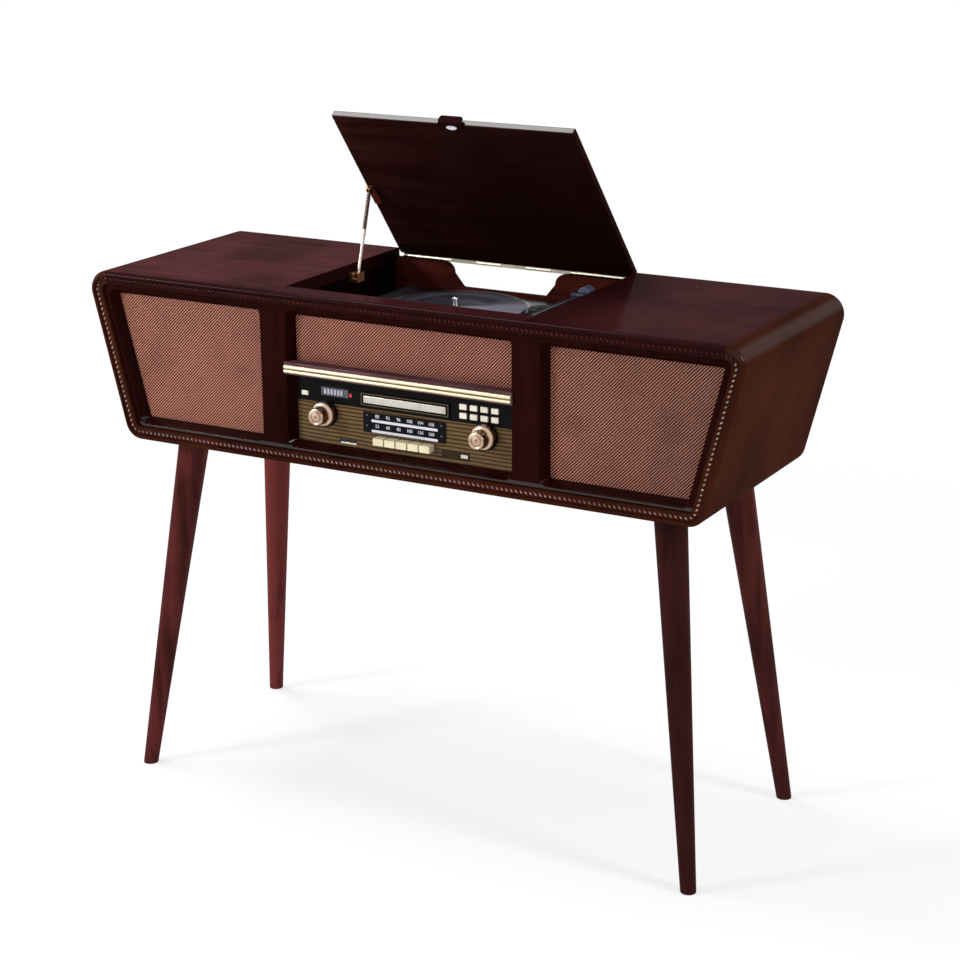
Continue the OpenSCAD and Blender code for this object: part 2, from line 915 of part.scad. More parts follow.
module speed_lever() {
    low = deck_top + gap;
    at = [lever_x, lever_y];
    color("#3b3b40") {
        post(at, lever_r, low, low + 5);
        translate([lever_x - 2.5, lever_y - lever_l, leg_h + low + 1]) cube([5, lever_l, 3]);
        post([lever_x, lever_y - lever_l], 4, low + 1, low + 7);
    }
}

// Places what is drawn with the lid closed where it stands with the lid open
module lid_place() {
    translate([0, axis_y, leg_h + axis_h])
        rotate([-lid_open, 0, 0])
            translate([0, -axis_y, -leg_h - axis_h]) children();
}

module lid() {
    r = 6;
    color("#33100f")
        lid_place()
            translate([0, 0, leg_h + cab_h - lid_t])
                linear_extrude(lid_t)
                    rounded([[-lid_half_w + r, lid_front_y + r], [lid_half_w - r, lid_front_y + r],
                             [lid_half_w - 2, lid_rear_y - 2], [-lid_half_w + 2, lid_rear_y - 2]], 2);
}

// Every second knuckle of the hinge, grown by a clearance
module knuckles(first, r, spread) {
    for (i = [first : 2 : knuckle_count - 1])
        rod_x(axis_y, axis_h, r, leaf_from + i * knuckle_pitch - spread,
              leaf_from + (i + 1) * knuckle_pitch + spread);
}

module hinge_cabinet_leaf() {
    color("#c7b98a") {
        difference() {
            union() {
                block([leaf_from, back_front_y + 0.5, axis_h - leaf_gap - leaf_t],
                      [leaf_to, axis_y, axis_h - leaf_gap]);
                knuckles(0, knuckle_r, -gap / 2);
            }
            knuckles(1, knuckle_r + gap + 0.1, gap / 2);
            upright(back_front_y - over, back_t + 2) notch_gap();
        }
        rod_x(axis_y, axis_h, knuckle_pin_r, leaf_from, leaf_to);
    }
}

// The leaf spans the notch in the back panel as a thin strip beside the knuckles
module notch_gap() {
    translate([spindle_x - notch_half - strip_reach, axis_h - strip_h / 2])
        square([2 * (notch_half + strip_reach), strip_h]);
}

module hinge_lid_leaf() {
    color("#c7b98a")
        lid_place()
            difference() {
                union() {
                    block([leaf_from, lid_rear_y - lid_leaf_w, axis_h + leaf_gap],
                          [leaf_to, axis_y, axis_h + leaf_gap + leaf_t]);
                    knuckles(1, knuckle_r, -gap / 2);
                }
                knuckles(0, knuckle_r + gap + 0.1, gap / 2);
                rod_x(axis_y, axis_h, knuckle_pin_r + run_fit, leaf_from - over, leaf_to + over);
            }
}

module lid_pull() {
    r = 4;
    low = cab_h - lid_t - pull_t;
    half = pull_w / 2 - r;
    color("#1a1214")
        lid_place() {
            translate([0, lid_front_y, leg_h])
                rotate([90, 0, 0])
                    linear_extrude(pull_t)
                        rounded([[pull_x - half, low + r], [pull_x + half, low + r],
                                 [pull_x + half, cab_h - r], [pull_x - half, cab_h - r]], r);
            translate([0, 0, leg_h + low])
                linear_extrude(pull_t)
                    union() {
                        translate([pull_x - pull_w / 2, lid_front_y - 0.01])
                            square([pull_w, pull_reach - r]);
                        rounded([[pull_x - half, lid_front_y + r],
                                 [pull_x + half, lid_front_y + r],
                                 [pull_x + half, lid_front_y + pull_reach - r],
                                 [pull_x - half, lid_front_y + pull_reach - r]], r);
                    }
        }
}

module stay_lid_bracket() {
    pin = stay_pin_closed;
    face = cab_h - lid_t;
    ear_reach = 4;
    ear_mid = stay_eye_t / 2 + gap + stay_ear_t / 2;
    color("#b98c3c")
        lid_place() {
            block([stay_x - 6, pin.x - ear_reach, face - stay_plate_t],
                  [stay_x + 6, pin.x - ear_reach + stay_plate_l, face]);
            for (side = [-1, 1])
                block([stay_x + side * ear_mid - stay_ear_t / 2, pin.x - ear_reach, pin.y - 3.4],
                      [stay_x + side * ear_mid + stay_ear_t / 2, pin.x + ear_reach, face]);
            rod_x(pin.x, pin.y, stay_pin_r, stay_x - ear_mid, stay_x + ear_mid);
        }
}

module stay_rod() {
    sleeve_l = stay_l * stay_sleeve_share;
    color("#b5a06a")
        translate([stay_x, stay_pin.x, leg_h + stay_pin.y])
            rotate([stay_angle, 0, 0])
                difference() {
                    union() {
                        translate([-stay_eye_t / 2, 0, 0])
                            rotate([0, 90, 0]) cylinder(h = stay_eye_t, r = stay_eye_r);
                        translate([0, stay_pin_r + over, 0])
                            rotate([-90, 0, 0]) cylinder(h = stay_neck_l - over, r = stay_eye_t / 2);
                        translate([0, stay_neck_l, 0])
                            rotate([-90, 0, 0]) cylinder(h = sleeve_l, r = stay_sleeve_r);
                        translate([0, stay_neck_l, 0])
                            rotate([-90, 0, 0]) cylinder(h = stay_l - stay_neck_l, r = stay_rod_r);
                    }
                    translate([-stay_eye_r, 0, 0])
                        rotate([0, 90, 0]) cylinder(h = 2 * stay_eye_r, r = stay_pin_r + run_fit);
                }
}

// Fork on the well's wall that the rod's lower end leans in, open to the back
module stay_cradle() {
    low = cab_h - 25;
    high = cab_h - 12;
    front = cradle_y - 8;
    rear = cradle_y + 9;
    color("#a9783a")
        difference() {
            block([-well_half_w, front, low], [stay_x + cradle_half + 2, rear, high]);
            block([stay_x - cradle_half, front + 3.3, low - over],
                  [stay_x + cradle_half, rear + over, high + over]);
            block([stay_x - cradle_half, front - over, cab_h - 19.6],
                  [stay_x + cradle_half, rear + over, high + over]);
        }
}

// Places of the small buttons from the panel's middle, row by row
preset_places = [for (row = preset_rows, i = [0 : 3]) [radio_x + preset_x + i * preset_pitch, row]];
power_place = [radio_x + power_x, power_height];

// Flat outline about a place on the radio plate
module plate_box(at, size, grow) {
    translate([at.x - size.x / 2 - grow, at.y - size.y / 2 - grow])
        square([size.x + 2 * grow, size.y + 2 * grow]);
}

function key_place(i) =
    [radio_x + 1.5 + (i - 3) * key_pitch, key_low + key_height / 2];

module radio_fascia() {
    plate_mid = (fascia_low + fascia_high) / 2;
    bezel_mid = (bezel_low + bezel_high) / 2;
    color("#6b5a33")
        difference() {
            union() {
                upright(cloth_y, fascia_t)
                    plate_box([0, plate_mid], [2 * fascia_half_w, fascia_high - fascia_low], 0);
                upright(cloth_y - bezel_t, bezel_t + over)
                    plate_box([radio_x + 1, bezel_mid], [bezel_w, bezel_high - bezel_low], 0);
                for (side = [-1, 1])
                    rod_y(radio_x + side * knob_dx, knob_h, knob_disc_r,
                          cloth_y - knob_disc_t, cloth_y + over);
            }
            upright(cloth_y - bezel_t - over, 20)
                plate_box([radio_x + 1, tray_mid], [tray_w, tray_h], gap);
            upright(cloth_y - over, 20) {
                for (p = preset_places) plate_box(p, preset_size, gap);
                plate_box(power_place, power_size, gap);
                for (i = [1 : 5]) plate_box(key_place(i), [key_w, key_height], gap);
                plate_box([radio_x + slot_x, slot_height], slot_size, 0);
            }
            upright(cloth_y - over, over + 0.8)
                plate_box([radio_x + screen_x, screen_height], screen_size, 0);
            upright(cloth_y - over, over + 0.8)
                plate_box([radio_x + socket_plate_x, socket_height], socket_plate_size, 0);
            rod_y(radio_x + jack_x, socket_height, jack_r, cloth_y - over, cloth_y + 20);
            for (side = [-1, 1])
                rod_y(radio_x + side * knob_dx, knob_h, shaft_r + gap, cloth_y - 5, cloth_y + 20);
        }
}

module dial_plate() {
    color("#121214")
        upright(cloth_y - dial_t, dial_t)
            plate_box([radio_x, (dial_low + dial_high) / 2], [dial_w, dial_high - dial_low], 0);
}

module cd_tray() {
    mid_x = radio_x + 1;
    low = tray_mid - tray_body_t / 2;
    back = cloth_y + tray_l;
    color("#c3c5c8")
        difference() {
            union() {
                upright(cloth_y - bezel_t - 0.5, 5)
                    plate_box([mid_x, tray_mid], [tray_w, tray_h], 0);
                block([mid_x - tray_body_w / 2, cloth_y + 2, low],
                      [mid_x + tray_body_w / 2, back, low + tray_body_t]);
            }
            translate([mid_x, cloth_y + disc_r + 4, leg_h + low + tray_body_t - disc_depth])
                cylinder(h = 3 * disc_depth, r = disc_r);
        }
}

// Loader that the tray slides in, on two side brackets
module cd_mechanism() {
    mid_x = radio_x + 1;
    half = mech_half_w;
    low = tray_mid - tray_body_t / 2 - mech_gap - mech_wall;
    color("#8f9296")
        difference() {
            union() {
                block([mid_x - half, fascia_rear_y + 2, low], [mid_x + half, mech_rear_y, mech_high]);
                for (side = [-1, 1])
                    block([mid_x + side * (half - 1) - 1, bracket_front_y, chassis_low + chassis_t],
                          [mid_x + side * (half - 1) + 1, mech_rear_y, low + over]);
            }
            block([mid_x - tray_body_w / 2 - mech_gap, cloth_y, low + mech_wall],
                  [mid_x + tray_body_w / 2 + mech_gap, mech_rear_y - 3, mech_high - mech_wall]);
        }
}

module knob(at_x) {
    color("#c9a86a")
        difference() {
            translate([at_x, cloth_y - knob_disc_t - gap, leg_h + knob_h])
                rotate([90, 0, 0])
                    rotate_extrude()
                        polygon([[0, 0], [knob_r - 1, 0], [knob_r, 1], [knob_r, knob_skirt_l - 4],
                                 [knob_r - 2.5, knob_skirt_l - 1.5], [knob_front_r + 1, knob_skirt_l],
                                 [knob_front_r, knob_skirt_l + 1], [knob_front_r, knob_l - 3.5],
                                 [knob_front_r - 1, knob_l - 2], [0, knob_l - 2]]);
            rod_y(at_x, knob_h, shaft_r + run_fit, cloth_y - shaft_l, cloth_y);
        }
}

module volume_knob() {
    knob(radio_x - knob_dx);
}

module tuning_knob() {
    knob(radio_x + knob_dx);
}

// Push button with a flange that keeps it behind the radio plate
module push_button(at, size) {
    upright(cloth_y - preset_out, preset_out + fascia_t + gap + flange_t) plate_box(at, size, 0);
    upright(fascia_rear_y + gap, flange_t) plate_box(at, size, flange_lap);
}

module preset_button(i) {
    color("#e8e6e0") push_button(preset_places[i - 1], preset_size);
}

module power_button() {
    color("#e8e6e0") push_button(power_place, power_size);
}

module piano_key(i) {
    color("#e9dfc4") {
        upright(cloth_y - key_out, key_out + fascia_t + key_lead)
            plate_box(key_place(i), [key_w, key_height], 0);
        upright(fascia_rear_y + gap, flange_t)
            plate_box(key_place(i), [key_w, key_height + 2 * flange_lap], 0);
    }
}

module speaker_driver() {
    color("#1d1d20")
        translate([speaker_x, cloth_y + cloth_t, leg_h + speaker_height])
            rotate([-90, 0, 0])
                rotate_extrude()
                    polygon([[0, cone_depth], [cone_r, cone_depth],
                             [speaker_r - 2 * basket_rim, basket_depth], [speaker_r - basket_rim, 0],
                             [speaker_r, 0], [speaker_r, basket_depth / 2],
                             [speaker_r - basket_rim + 2, basket_depth / 2 + 1],
                             [magnet_r, magnet_front], [magnet_r, magnet_rear], [0, magnet_rear]]);
}

module right_speaker() {
    speaker_driver();
}

module left_speaker() {
    mirror([1, 0, 0]) speaker_driver();
}

// Chassis with the upright circuit board, the knobs' shafts and the transformer
module amplifier_board() {
    base_high = chassis_low + chassis_t;
    color("#2f5a3a") {
        block([-chassis_half_w, board_y, chassis_low], [chassis_half_w, chassis_rear_y, base_high]);
        block([-chassis_half_w, board_y, base_high - over],
              [chassis_half_w, board_y + board_t, board_high]);
        block([-transformer_half_w, transformer_front_y, base_high - over],
              [transformer_half_w, transformer_front_y + transformer_l, base_high + transformer_h]);
        for (side = [-1, 1]) {
            rod_y(radio_x + side * knob_dx, knob_h, control_r, fascia_rear_y + 0.5, board_y + over);
            rod_y(radio_x + side * knob_dx, knob_h, shaft_r, cloth_y - shaft_l + 1, board_y);
        }
    }
}

// Plate with the line sockets and the mains inlet, on the outside of the back
module rear_terminals() {
    inlet = [terminal_x + inlet_x, terminal_height];
    sockets = [for (x = line_x, rise = line_rise) [terminal_x + x, terminal_height + rise]];
    color("#202024")
        difference() {
            union() {
                upright(back_rear_y, terminal_t)
                    plate_box([terminal_x, terminal_height], terminal_size, 0);
                for (at = sockets)
                    rod_y(at.x, at.y, line_r, back_rear_y + over, back_rear_y + line_l);
                upright(back_rear_y + over, inlet_l - over) plate_box(inlet, inlet_size, 0);
            }
            upright(back_rear_y + terminal_t + 0.2, inlet_l)
                difference() {
                    plate_box(inlet, inlet_well, 0);
                    plate_box(inlet, inlet_tongue, 0);
                }
            for (at = sockets)
                rod_y(at.x, at.y, line_bore_r, back_rear_y + terminal_t, back_rear_y + 2 * line_l);
        }
}

bottom_panel();
left_side_panel();
right_side_panel();
top_panel();
back_panel();
front_baffle();
left_grille_cloth();
centre_grille_cloth();
right_grille_cloth();
shelf_bar();
gold_trim();
leg_front_left();
leg_front_right();
leg_rear_left();
leg_rear_right();
leg_plates();
turntable_well();
deck_plate();
platter();
slip_mat();
spindle();
drive_motor();
motor_pulley();
drive_belt();
tonearm_turret();
tonearm_yoke();
tonearm();
counterweight();
speed_lever();
lid();
hinge_lid_leaf();
hinge_cabinet_leaf();
lid_pull();
stay_lid_bracket();
stay_rod();
stay_cradle();
radio_fascia();
dial_plate();
cd_tray();
cd_mechanism();
volume_knob();
tuning_knob();
for (i = [1 : 8])
    preset_button(i);
power_button();
for (i = [1 : 5])
    piano_key(i);
left_speaker();
right_speaker();
amplifier_board();
rear_terminals();
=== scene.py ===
"""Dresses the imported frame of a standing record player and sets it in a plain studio."""
import json
import logging
import math
from dataclasses import dataclass
from enum import Enum
from typing import Callable, Iterable, Optional, Sequence, Union

import bmesh
import bpy
from mathutils import Matrix, Vector

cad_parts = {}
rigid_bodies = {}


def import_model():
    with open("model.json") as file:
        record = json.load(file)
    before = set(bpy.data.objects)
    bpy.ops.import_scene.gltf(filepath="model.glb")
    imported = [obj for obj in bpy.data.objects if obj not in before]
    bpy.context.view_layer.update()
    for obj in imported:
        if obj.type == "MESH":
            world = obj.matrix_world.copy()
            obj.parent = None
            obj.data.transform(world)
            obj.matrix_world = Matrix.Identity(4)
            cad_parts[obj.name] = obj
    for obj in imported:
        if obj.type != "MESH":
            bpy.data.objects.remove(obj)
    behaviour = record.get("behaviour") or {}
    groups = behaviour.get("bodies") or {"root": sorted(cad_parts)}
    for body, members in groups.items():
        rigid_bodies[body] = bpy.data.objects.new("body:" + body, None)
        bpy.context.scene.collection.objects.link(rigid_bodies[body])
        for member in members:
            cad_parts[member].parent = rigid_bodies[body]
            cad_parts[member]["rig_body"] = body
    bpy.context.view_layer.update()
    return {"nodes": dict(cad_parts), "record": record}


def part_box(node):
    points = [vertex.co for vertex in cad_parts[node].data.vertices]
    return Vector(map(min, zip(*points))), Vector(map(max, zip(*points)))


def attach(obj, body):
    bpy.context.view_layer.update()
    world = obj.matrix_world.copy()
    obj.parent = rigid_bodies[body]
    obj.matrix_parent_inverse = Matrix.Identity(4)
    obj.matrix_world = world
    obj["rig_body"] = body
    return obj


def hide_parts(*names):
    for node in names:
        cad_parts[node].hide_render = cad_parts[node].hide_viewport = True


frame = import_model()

LOG = logging.getLogger("record_player")
MM = 0.001
LEG_H = 495.0
CAB_H = 236.0
FRONT_Y = -167.0
REAR_Y = 167.0
CLOTH_Y = -145.0
RADIO_X = 3.0
KNOB_DX = 122.5
KNOB_RISE = 72.7
SPINDLE = (-13.0, 20.0)
HINGE_Y = 167.8
HINGE_RISE = 225.2
LID_OPEN = math.radians(50.6)
QUARTER = math.radians(90)

Colour = tuple[float, float, float, float]
Point2 = tuple[float, float]
EdgeTest = Optional[Callable[[bmesh.types.BMEdge], bool]]


def paint(red: float, green: float, blue: float) -> Colour:
    """Turns a colour as a screen shows it into the linear one that a shader takes.

    Args:
        red: Red from 0 to 255.
        green: Green from 0 to 255.
        blue: Blue from 0 to 255.

    Returns:
        The linear colour with full alpha.
    """
    def linear(level: float) -> float:
        """Undoes the screen's curve for one channel."""
        share = level / 255
        return share / 12.92 if share <= 0.04045 else ((share + 0.055) / 1.055) ** 2.4

    return (linear(red), linear(green), linear(blue), 1.0)


def dimmed(colour: Colour, share: float) -> Colour:
    """Gives a colour with its light multiplied."""
    return tuple(share * c for c in colour[:3]) + (1.0,)


def place(x: float, y: float, rise: float) -> Vector:
    """Gives the point at x, y and a height above the cabinet's underside, in metres."""
    return Vector((x, y, LEG_H + rise)) * MM


class Grain(Enum):
    """Direction that a board's grain runs in, as scales across and along it."""

    ALONG_X = (5.0, 70.0, 70.0)
    ALONG_Z = (70.0, 70.0, 5.0)


class Brush(Enum):
    """Direction of a metal's fine brush marks, as scales of the marks' noise."""

    NONE = (400.0, 400.0, 400.0)
    ALONG_X = (20.0, 1500.0, 1500.0)
    ALONG_Y = (1500.0, 20.0, 1500.0)


# Shader helpers


def maths(operation: str, swapped: bool = False) -> Callable[..., "Level"]:
    """Makes a method of Level that adds one Math node.

    Args:
        operation: The node's operation.
        swapped: Whether the level comes last, as in a reflected operator.

    Returns:
        The method, which takes the operation's other values.
    """
    def method(level: "Level", *others: Union["Level", float]) -> "Level":
        """Adds the node to the level's tree and gives its result."""
        values = (*others, level) if swapped else (level, *others)
        return level.shade.level("ShaderNodeMath", dict(enumerate(values)), operation=operation)

    return method


class Level:
    """A number that varies over a surface, on which Python's operators add Math nodes."""

    __add__ = __radd__ = maths("ADD")
    __sub__, __rsub__ = maths("SUBTRACT"), maths("SUBTRACT", swapped=True)
    __mul__ = __rmul__ = maths("MULTIPLY")
    __truediv__, __rtruediv__ = maths("DIVIDE"), maths("DIVIDE", swapped=True)
    __gt__, __lt__ = maths("GREATER_THAN"), maths("LESS_THAN")
    __abs__ = maths("ABSOLUTE")
    sine, floor, fraction, root = maths("SINE"), maths("FLOOR"), maths("FRACT"), maths("SQRT")
    at_least = maths("MAXIMUM")

    def __init__(self, shade: "Shade", socket: bpy.types.NodeSocket) -> None:
        """Keeps the socket and the tree that it belongs to."""
        self.shade = shade
        self.socket = socket

    def ease(self, low: float, high: float) -> "Level":
        """Goes smoothly from 0 at low to 1 at high."""
        return self.shade.level("ShaderNodeMapRange",
                                {"Value": self, "From Min": low, "From Max": high},
                                interpolation_type="SMOOTHSTEP")

    def within(self, low: float, high: float) -> "Level":
        """Is 1 between two limits."""
        return (self > low) * (self < high)


Value = Union[Level, float]
Tint = Union[bpy.types.NodeSocket, Colour]


class Nodes:
    """A node tree of any kind."""

    def __init__(self, tree: bpy.types.NodeTree) -> None:
        """Keeps the tree."""
        self.tree = tree

    def add(self, kind: str, sockets: Optional[dict] = None,
            **settings: object) -> bpy.types.Node:
        """Adds any node: its settings first, then the values or links of its sockets.

        Args:
            kind: The node's type.
            sockets: Values, levels, nodes or sockets by socket name or number.
            settings: The node's own properties.

        Returns:
            The node.
        """
        node = self.tree.nodes.new(kind)
        for key, setting in settings.items():
            setattr(node, key, setting)
        for key, value in (sockets or {}).items():
            self.feed(node.inputs[key], value)
        return node

    def feed(self, socket: bpy.types.NodeSocket, value: object) -> None:
        """Sets one socket, or links it to a level, a socket or a node's first output."""
        if isinstance(value, Level):
            value = value.socket
        elif isinstance(value, bpy.types.Node):
            value = value.outputs[0]
        if isinstance(value, bpy.types.NodeSocket):
            self.tree.links.new(value, socket)
        else:
            socket.default_value = value

    def direct(self) -> bpy.types.NodeSocket:
        """Gives 1 for the rays that show a background: straight, mirrored or refracted."""
        rays = self.add("ShaderNodeLightPath").outputs
        seen = rays["Is Camera Ray"]
        for kind in ("Is Glossy Ray", "Is Transmission Ray"):
            seen = self.add("ShaderNodeMath", {0: seen, 1: rays[kind]},
                            operation="MAXIMUM").outputs[0]
        return seen


class Shade(Nodes):
    """One material's node tree."""

    def __init__(self, name: str) -> None:
        """Makes the material with a Principled shader."""
        self.material = bpy.data.materials.new(name)
        self.material.use_nodes = True
        super().__init__(self.material.node_tree)
        self.shader = self.tree.nodes["Principled BSDF"]

    def level(self, kind: str, sockets: dict, **settings: object) -> Level:
        """Adds a node and gives its first output as a number."""
        return Level(self, self.add(kind, sockets, **settings).outputs[0])

    def axes(self) -> tuple[Level, Level, Level]:
        """Gives the object coordinates in metres."""
        split = self.add("ShaderNodeSeparateXYZ", {0: self.spot()})
        return tuple(Level(self, split.outputs[i]) for i in range(3))

    def spot(self) -> bpy.types.NodeSocket:
        """Gives the object coordinates as one vector."""
        return self.add("ShaderNodeTexCoord").outputs["Object"]

    def noise(self, scales: Sequence[float], detail: float = 3.0, warp: float = 0.0) -> Level:
        """Adds a noise on stretched object coordinates, from 0 to 1."""
        spot = self.add("ShaderNodeVectorMath", {0: self.spot(), 1: tuple(scales)},
                        operation="MULTIPLY")
        return self.level("ShaderNodeTexNoise", {"Vector": spot, "Scale": 1.0, "Detail": detail,
                                                 "Distortion": warp})

    def mix(self, factor: Value, first: Tint, second: Tint) -> bpy.types.NodeSocket:
        """Mixes two colours."""
        return self.add("ShaderNodeMix", {"Factor": factor, 6: first, 7: second},
                        data_type="RGBA").outputs[2]

    def bump(self, height: Level, depth_mm: float, strength: float = 1.0) -> None:
        """Feeds the shader's normal from a height of 0 to 1 that is depth_mm deep."""
        self.feed(self.shader.inputs["Normal"], self.add("ShaderNodeBump", {
            "Height": height, "Distance": depth_mm * MM, "Strength": strength}))

    def finish(self, **sockets: object) -> bpy.types.Material:
        """Sets the shader's sockets, with underscores for spaces, and gives the material."""
        for key, value in sockets.items():
            self.feed(self.shader.inputs[key.replace("_", " ")], value)
        return self.material


# Finishes


@dataclass(frozen=True)
class Lacquer:
    """Stained wood under a clear lacquer."""

    name: str
    light: Colour
    dark: Colour
    grain: Grain
    coat: float = 0.12
    roughness: float = 0.4
    coat_roughness: float = 0.12
    # The next three fields paint shade across the width: from light_at to dark_at the stain
    # darkens by the last one's share.
    light_at: float = -9000.0
    dark_at: float = 9000.0
    painted_side_shade: float = 0.0
    figured: float = 0.65

    def coated(self, shade: Shade) -> Value:
        """Gives the strength of the clear coat at a place."""
        return self.coat

    def lit(self, shade: Shade) -> Value:
        """Gives the share of the light stain that a place keeps under painted light and shade,
        which is none here.
        """
        return 1.0

    def stained(self, shade: Shade, depth: Value) -> Value:
        """Gives the stain's colour where the figure has a depth from 0 to 1, darkened across the
        width by painted shade.
        """
        # Painted shade, deepening from light_at to dark_at.
        fade = (shade.axes()[0] / MM).ease(self.light_at, self.dark_at) * self.painted_side_shade
        return shade.mix(depth * (1 - fade) * self.lit(shade), self.dark, self.light)

    def make(self) -> bpy.types.Material:
        """Builds the material with grain, pores, cloudiness and a faint orange peel."""
        shade = Shade(self.name)
        figure = shade.noise(self.grain.value, 5.0, 0.6)
        pores = shade.noise([9 * s for s in self.grain.value], 2.0)
        cloud = shade.noise((9.0, 9.0, 9.0), 2.0)
        depth = figure.ease(0.3, 0.72) * self.figured + cloud.ease(0.1, 0.9) * (1 - self.figured)
        streaked = shade.mix(pores.ease(0.62, 0.8) * 0.35, self.stained(shade, depth), self.dark)
        peel = shade.noise((230.0, 230.0, 230.0), 2.0)
        shade.bump(peel * 0.7 + pores * 0.3, 0.02, 0.5)
        gloss = self.roughness + (cloud - 0.5) * 0.20 + (peel - 0.5) * 0.10
        return shade.finish(Base_Color=streaked, Roughness=gloss, Specular_IOR_Level=0.0,
                            Coat_Weight=self.coated(shade), Coat_Roughness=self.coat_roughness)


@dataclass(frozen=True)
class LidLacquer(Lacquer):
    """Lacquered wood of the lid, found in the open lid's place: its underside is darker, with
    painted shade that deepens towards the right.
    """

    reach: float = 289.2
    outside: float = 9.8
    outer_light: Colour = paint(78, 38, 41)
    outer_dark: Colour = paint(36, 12, 13)

    def turned_back(self, shade: Shade) -> tuple[Level, Level]:
        """Gives the distance from the hinge and the height over it of the closed lid, in mm."""
        _, y, z = (axis / MM for axis in shade.axes())
        dy, dz = y - HINGE_Y, z - (LEG_H + HINGE_RISE)
        sine, cosine = math.sin(LID_OPEN), math.cos(LID_OPEN)
        return dz * sine - dy * cosine, dz * cosine + dy * sine

    def stained(self, shade: Shade, depth: Value) -> Value:
        """Gives the stain's colour, on the outer face that of the top."""
        outer = shade.mix(depth, self.outer_dark, self.outer_light)
        over = self.turned_back(shade)[1] > self.outside
        return shade.mix(over, super().stained(shade, depth), outer)

    def coated(self, shade: Shade) -> Value:
        """Gives the strength of the clear coat, which is thick on the free edge."""
        return self.coat + (self.turned_back(shade)[0] > self.reach) * 0.36


@dataclass(frozen=True)
class TopLacquer(Lacquer):
    """Lacquered wood of the top, with painted shade in the opening, before it and on the front
    edge, and a painted dark reflection of the open lid beside it.
    """

    opening_half: float = 191.2
    opening_front: float = -131.0
    front: float = -158.0

    def lit(self, shade: Shade) -> Value:
        """Gives the share of the light stain that a place keeps, lowered by painted shade and a
        painted reflection.
        """
        x, y, z = (axis / MM for axis in shade.axes())
        # Painted shade on the opening's inner faces.
        inside = (abs(x) < self.opening_half) * (y > self.opening_front)
        inside = inside * (z < LEG_H + CAB_H - 1.2)
        # Painted dark reflection of the open lid, to the right of the opening.
        beside = x.within(self.opening_half, 420.0) * x.ease(330.0, 200.0) * 0.95
        # Painted shade along the front edge.
        rim = y.ease(self.front, self.front - 6.0) * 0.9
        # Painted shade on the rail before the opening.
        before = (abs(x) < self.opening_half + 25) * (y < self.opening_front) * 0.45
        return (1 - inside) * (1 - beside) * (1 - rim) * (1 - before)


@dataclass(frozen=True)
class LegLacquer(Lacquer):
    """Lacquered wood of the legs, of which the rear pair is lighter through a painted reflection.
    """

    def lit(self, shade: Shade) -> Value:
        """Gives the share of the light stain that a place keeps, raised on the rear legs as
        painted reflection.
        """
        return 1 + (shade.axes()[1] > 0.0) * 1.5


@dataclass(frozen=True)
class SideLacquer(Lacquer):
    """Lacquered wood of the sides, with a glossier coat round the upper corner."""

    corner_rise: float = 214.0

    def coated(self, shade: Shade) -> Value:
        """Gives the strength of the clear coat, which is thick along the corner."""
        rise = shade.axes()[2] / MM - LEG_H
        corner = rise.ease(self.corner_rise, self.corner_rise + 9.0)
        corner = corner * rise.ease(self.corner_rise + 20.0, self.corner_rise + 14.0)
        return self.coat + corner * 0.22


@dataclass(frozen=True)
class BaffleLacquer(Lacquer):
    """Lacquered wood of the speaker board, glossy on the windows' ledges and their edges."""

    edge_y: float = -157.6
    ledge_y: float = -159.8
    edge_rise: tuple[float, float] = (19.5, 24.5)
    ledge_rise: float = 30.5

    def coated(self, shade: Shade) -> Value:
        """Gives the strength of the clear coat, which is thick on the ledges and edges."""
        _, y, z = (axis / MM for axis in shade.axes())
        low, high = (LEG_H + rise for rise in self.edge_rise)
        edge = z.within(low, high) * (y < self.edge_y)
        ledge = z.within(low, LEG_H + self.ledge_rise) * (y > self.ledge_y)
        return self.coat + (ledge * 0.3).at_least(edge * 0.9)


@dataclass(frozen=True)
class RopeLacquer(Lacquer):
    """Lacquered wood of the rope moulding, whose lobes carry painted highlights on their crests.
    """

    # Colours of the painted highlights: cream at the sides, silver below and warm on top.
    cream: Colour = paint(222, 200, 172)
    silver: Colour = paint(186, 170, 168)
    warm: Colour = paint(150, 80, 60)
    crest_y: float = FRONT_Y + 1.15

    def make(self) -> bpy.types.Material:
        """Builds the wood with painted highlights on the crests, pale at the sides and below,
        faint on top, and painted shade on the top run.
        """
        shade = Shade(self.name)
        x, y, z = shade.axes()
        crest = (y / MM).ease(self.crest_y + 0.5, self.crest_y - 0.25)
        beside = abs(x) > 415 * MM
        below = z < (LEG_H + 20) * MM
        above = z > (LEG_H + 216) * MM
        beside = beside * (1 - below) * (1 - above)
        patches = shade.noise((16.0, 60.0, 60.0), 2.0).ease(0.35, 0.6)
        # Painted highlights on the lobes' crests, broken up by patches.
        painted_glint = crest * (beside * (0.5 + 0.35 * patches) + below * (0.35 + 0.6 * patches)
                          + above * (0.08 + 0.3 * patches))
        figure = shade.noise(self.grain.value, 5.0, 0.6)
        # On the top run the figure is darkened as painted shade.
        wood = shade.mix(figure.ease(0.3, 0.72) * (1 - 0.65 * above), self.dark, self.light)
        pale = shade.mix(above, shade.mix(below, self.cream, self.silver), self.warm)
        tint = shade.mix(painted_glint, wood, pale)
        return shade.finish(Base_Color=tint, Roughness=self.roughness + (figure - 0.5) * 0.15,
                            Specular_IOR_Level=0.0,
                            Coat_Weight=self.coat * (1 - 0.9 * above) * (1 - 0.4 * below),
                            Coat_Roughness=self.coat_roughness)


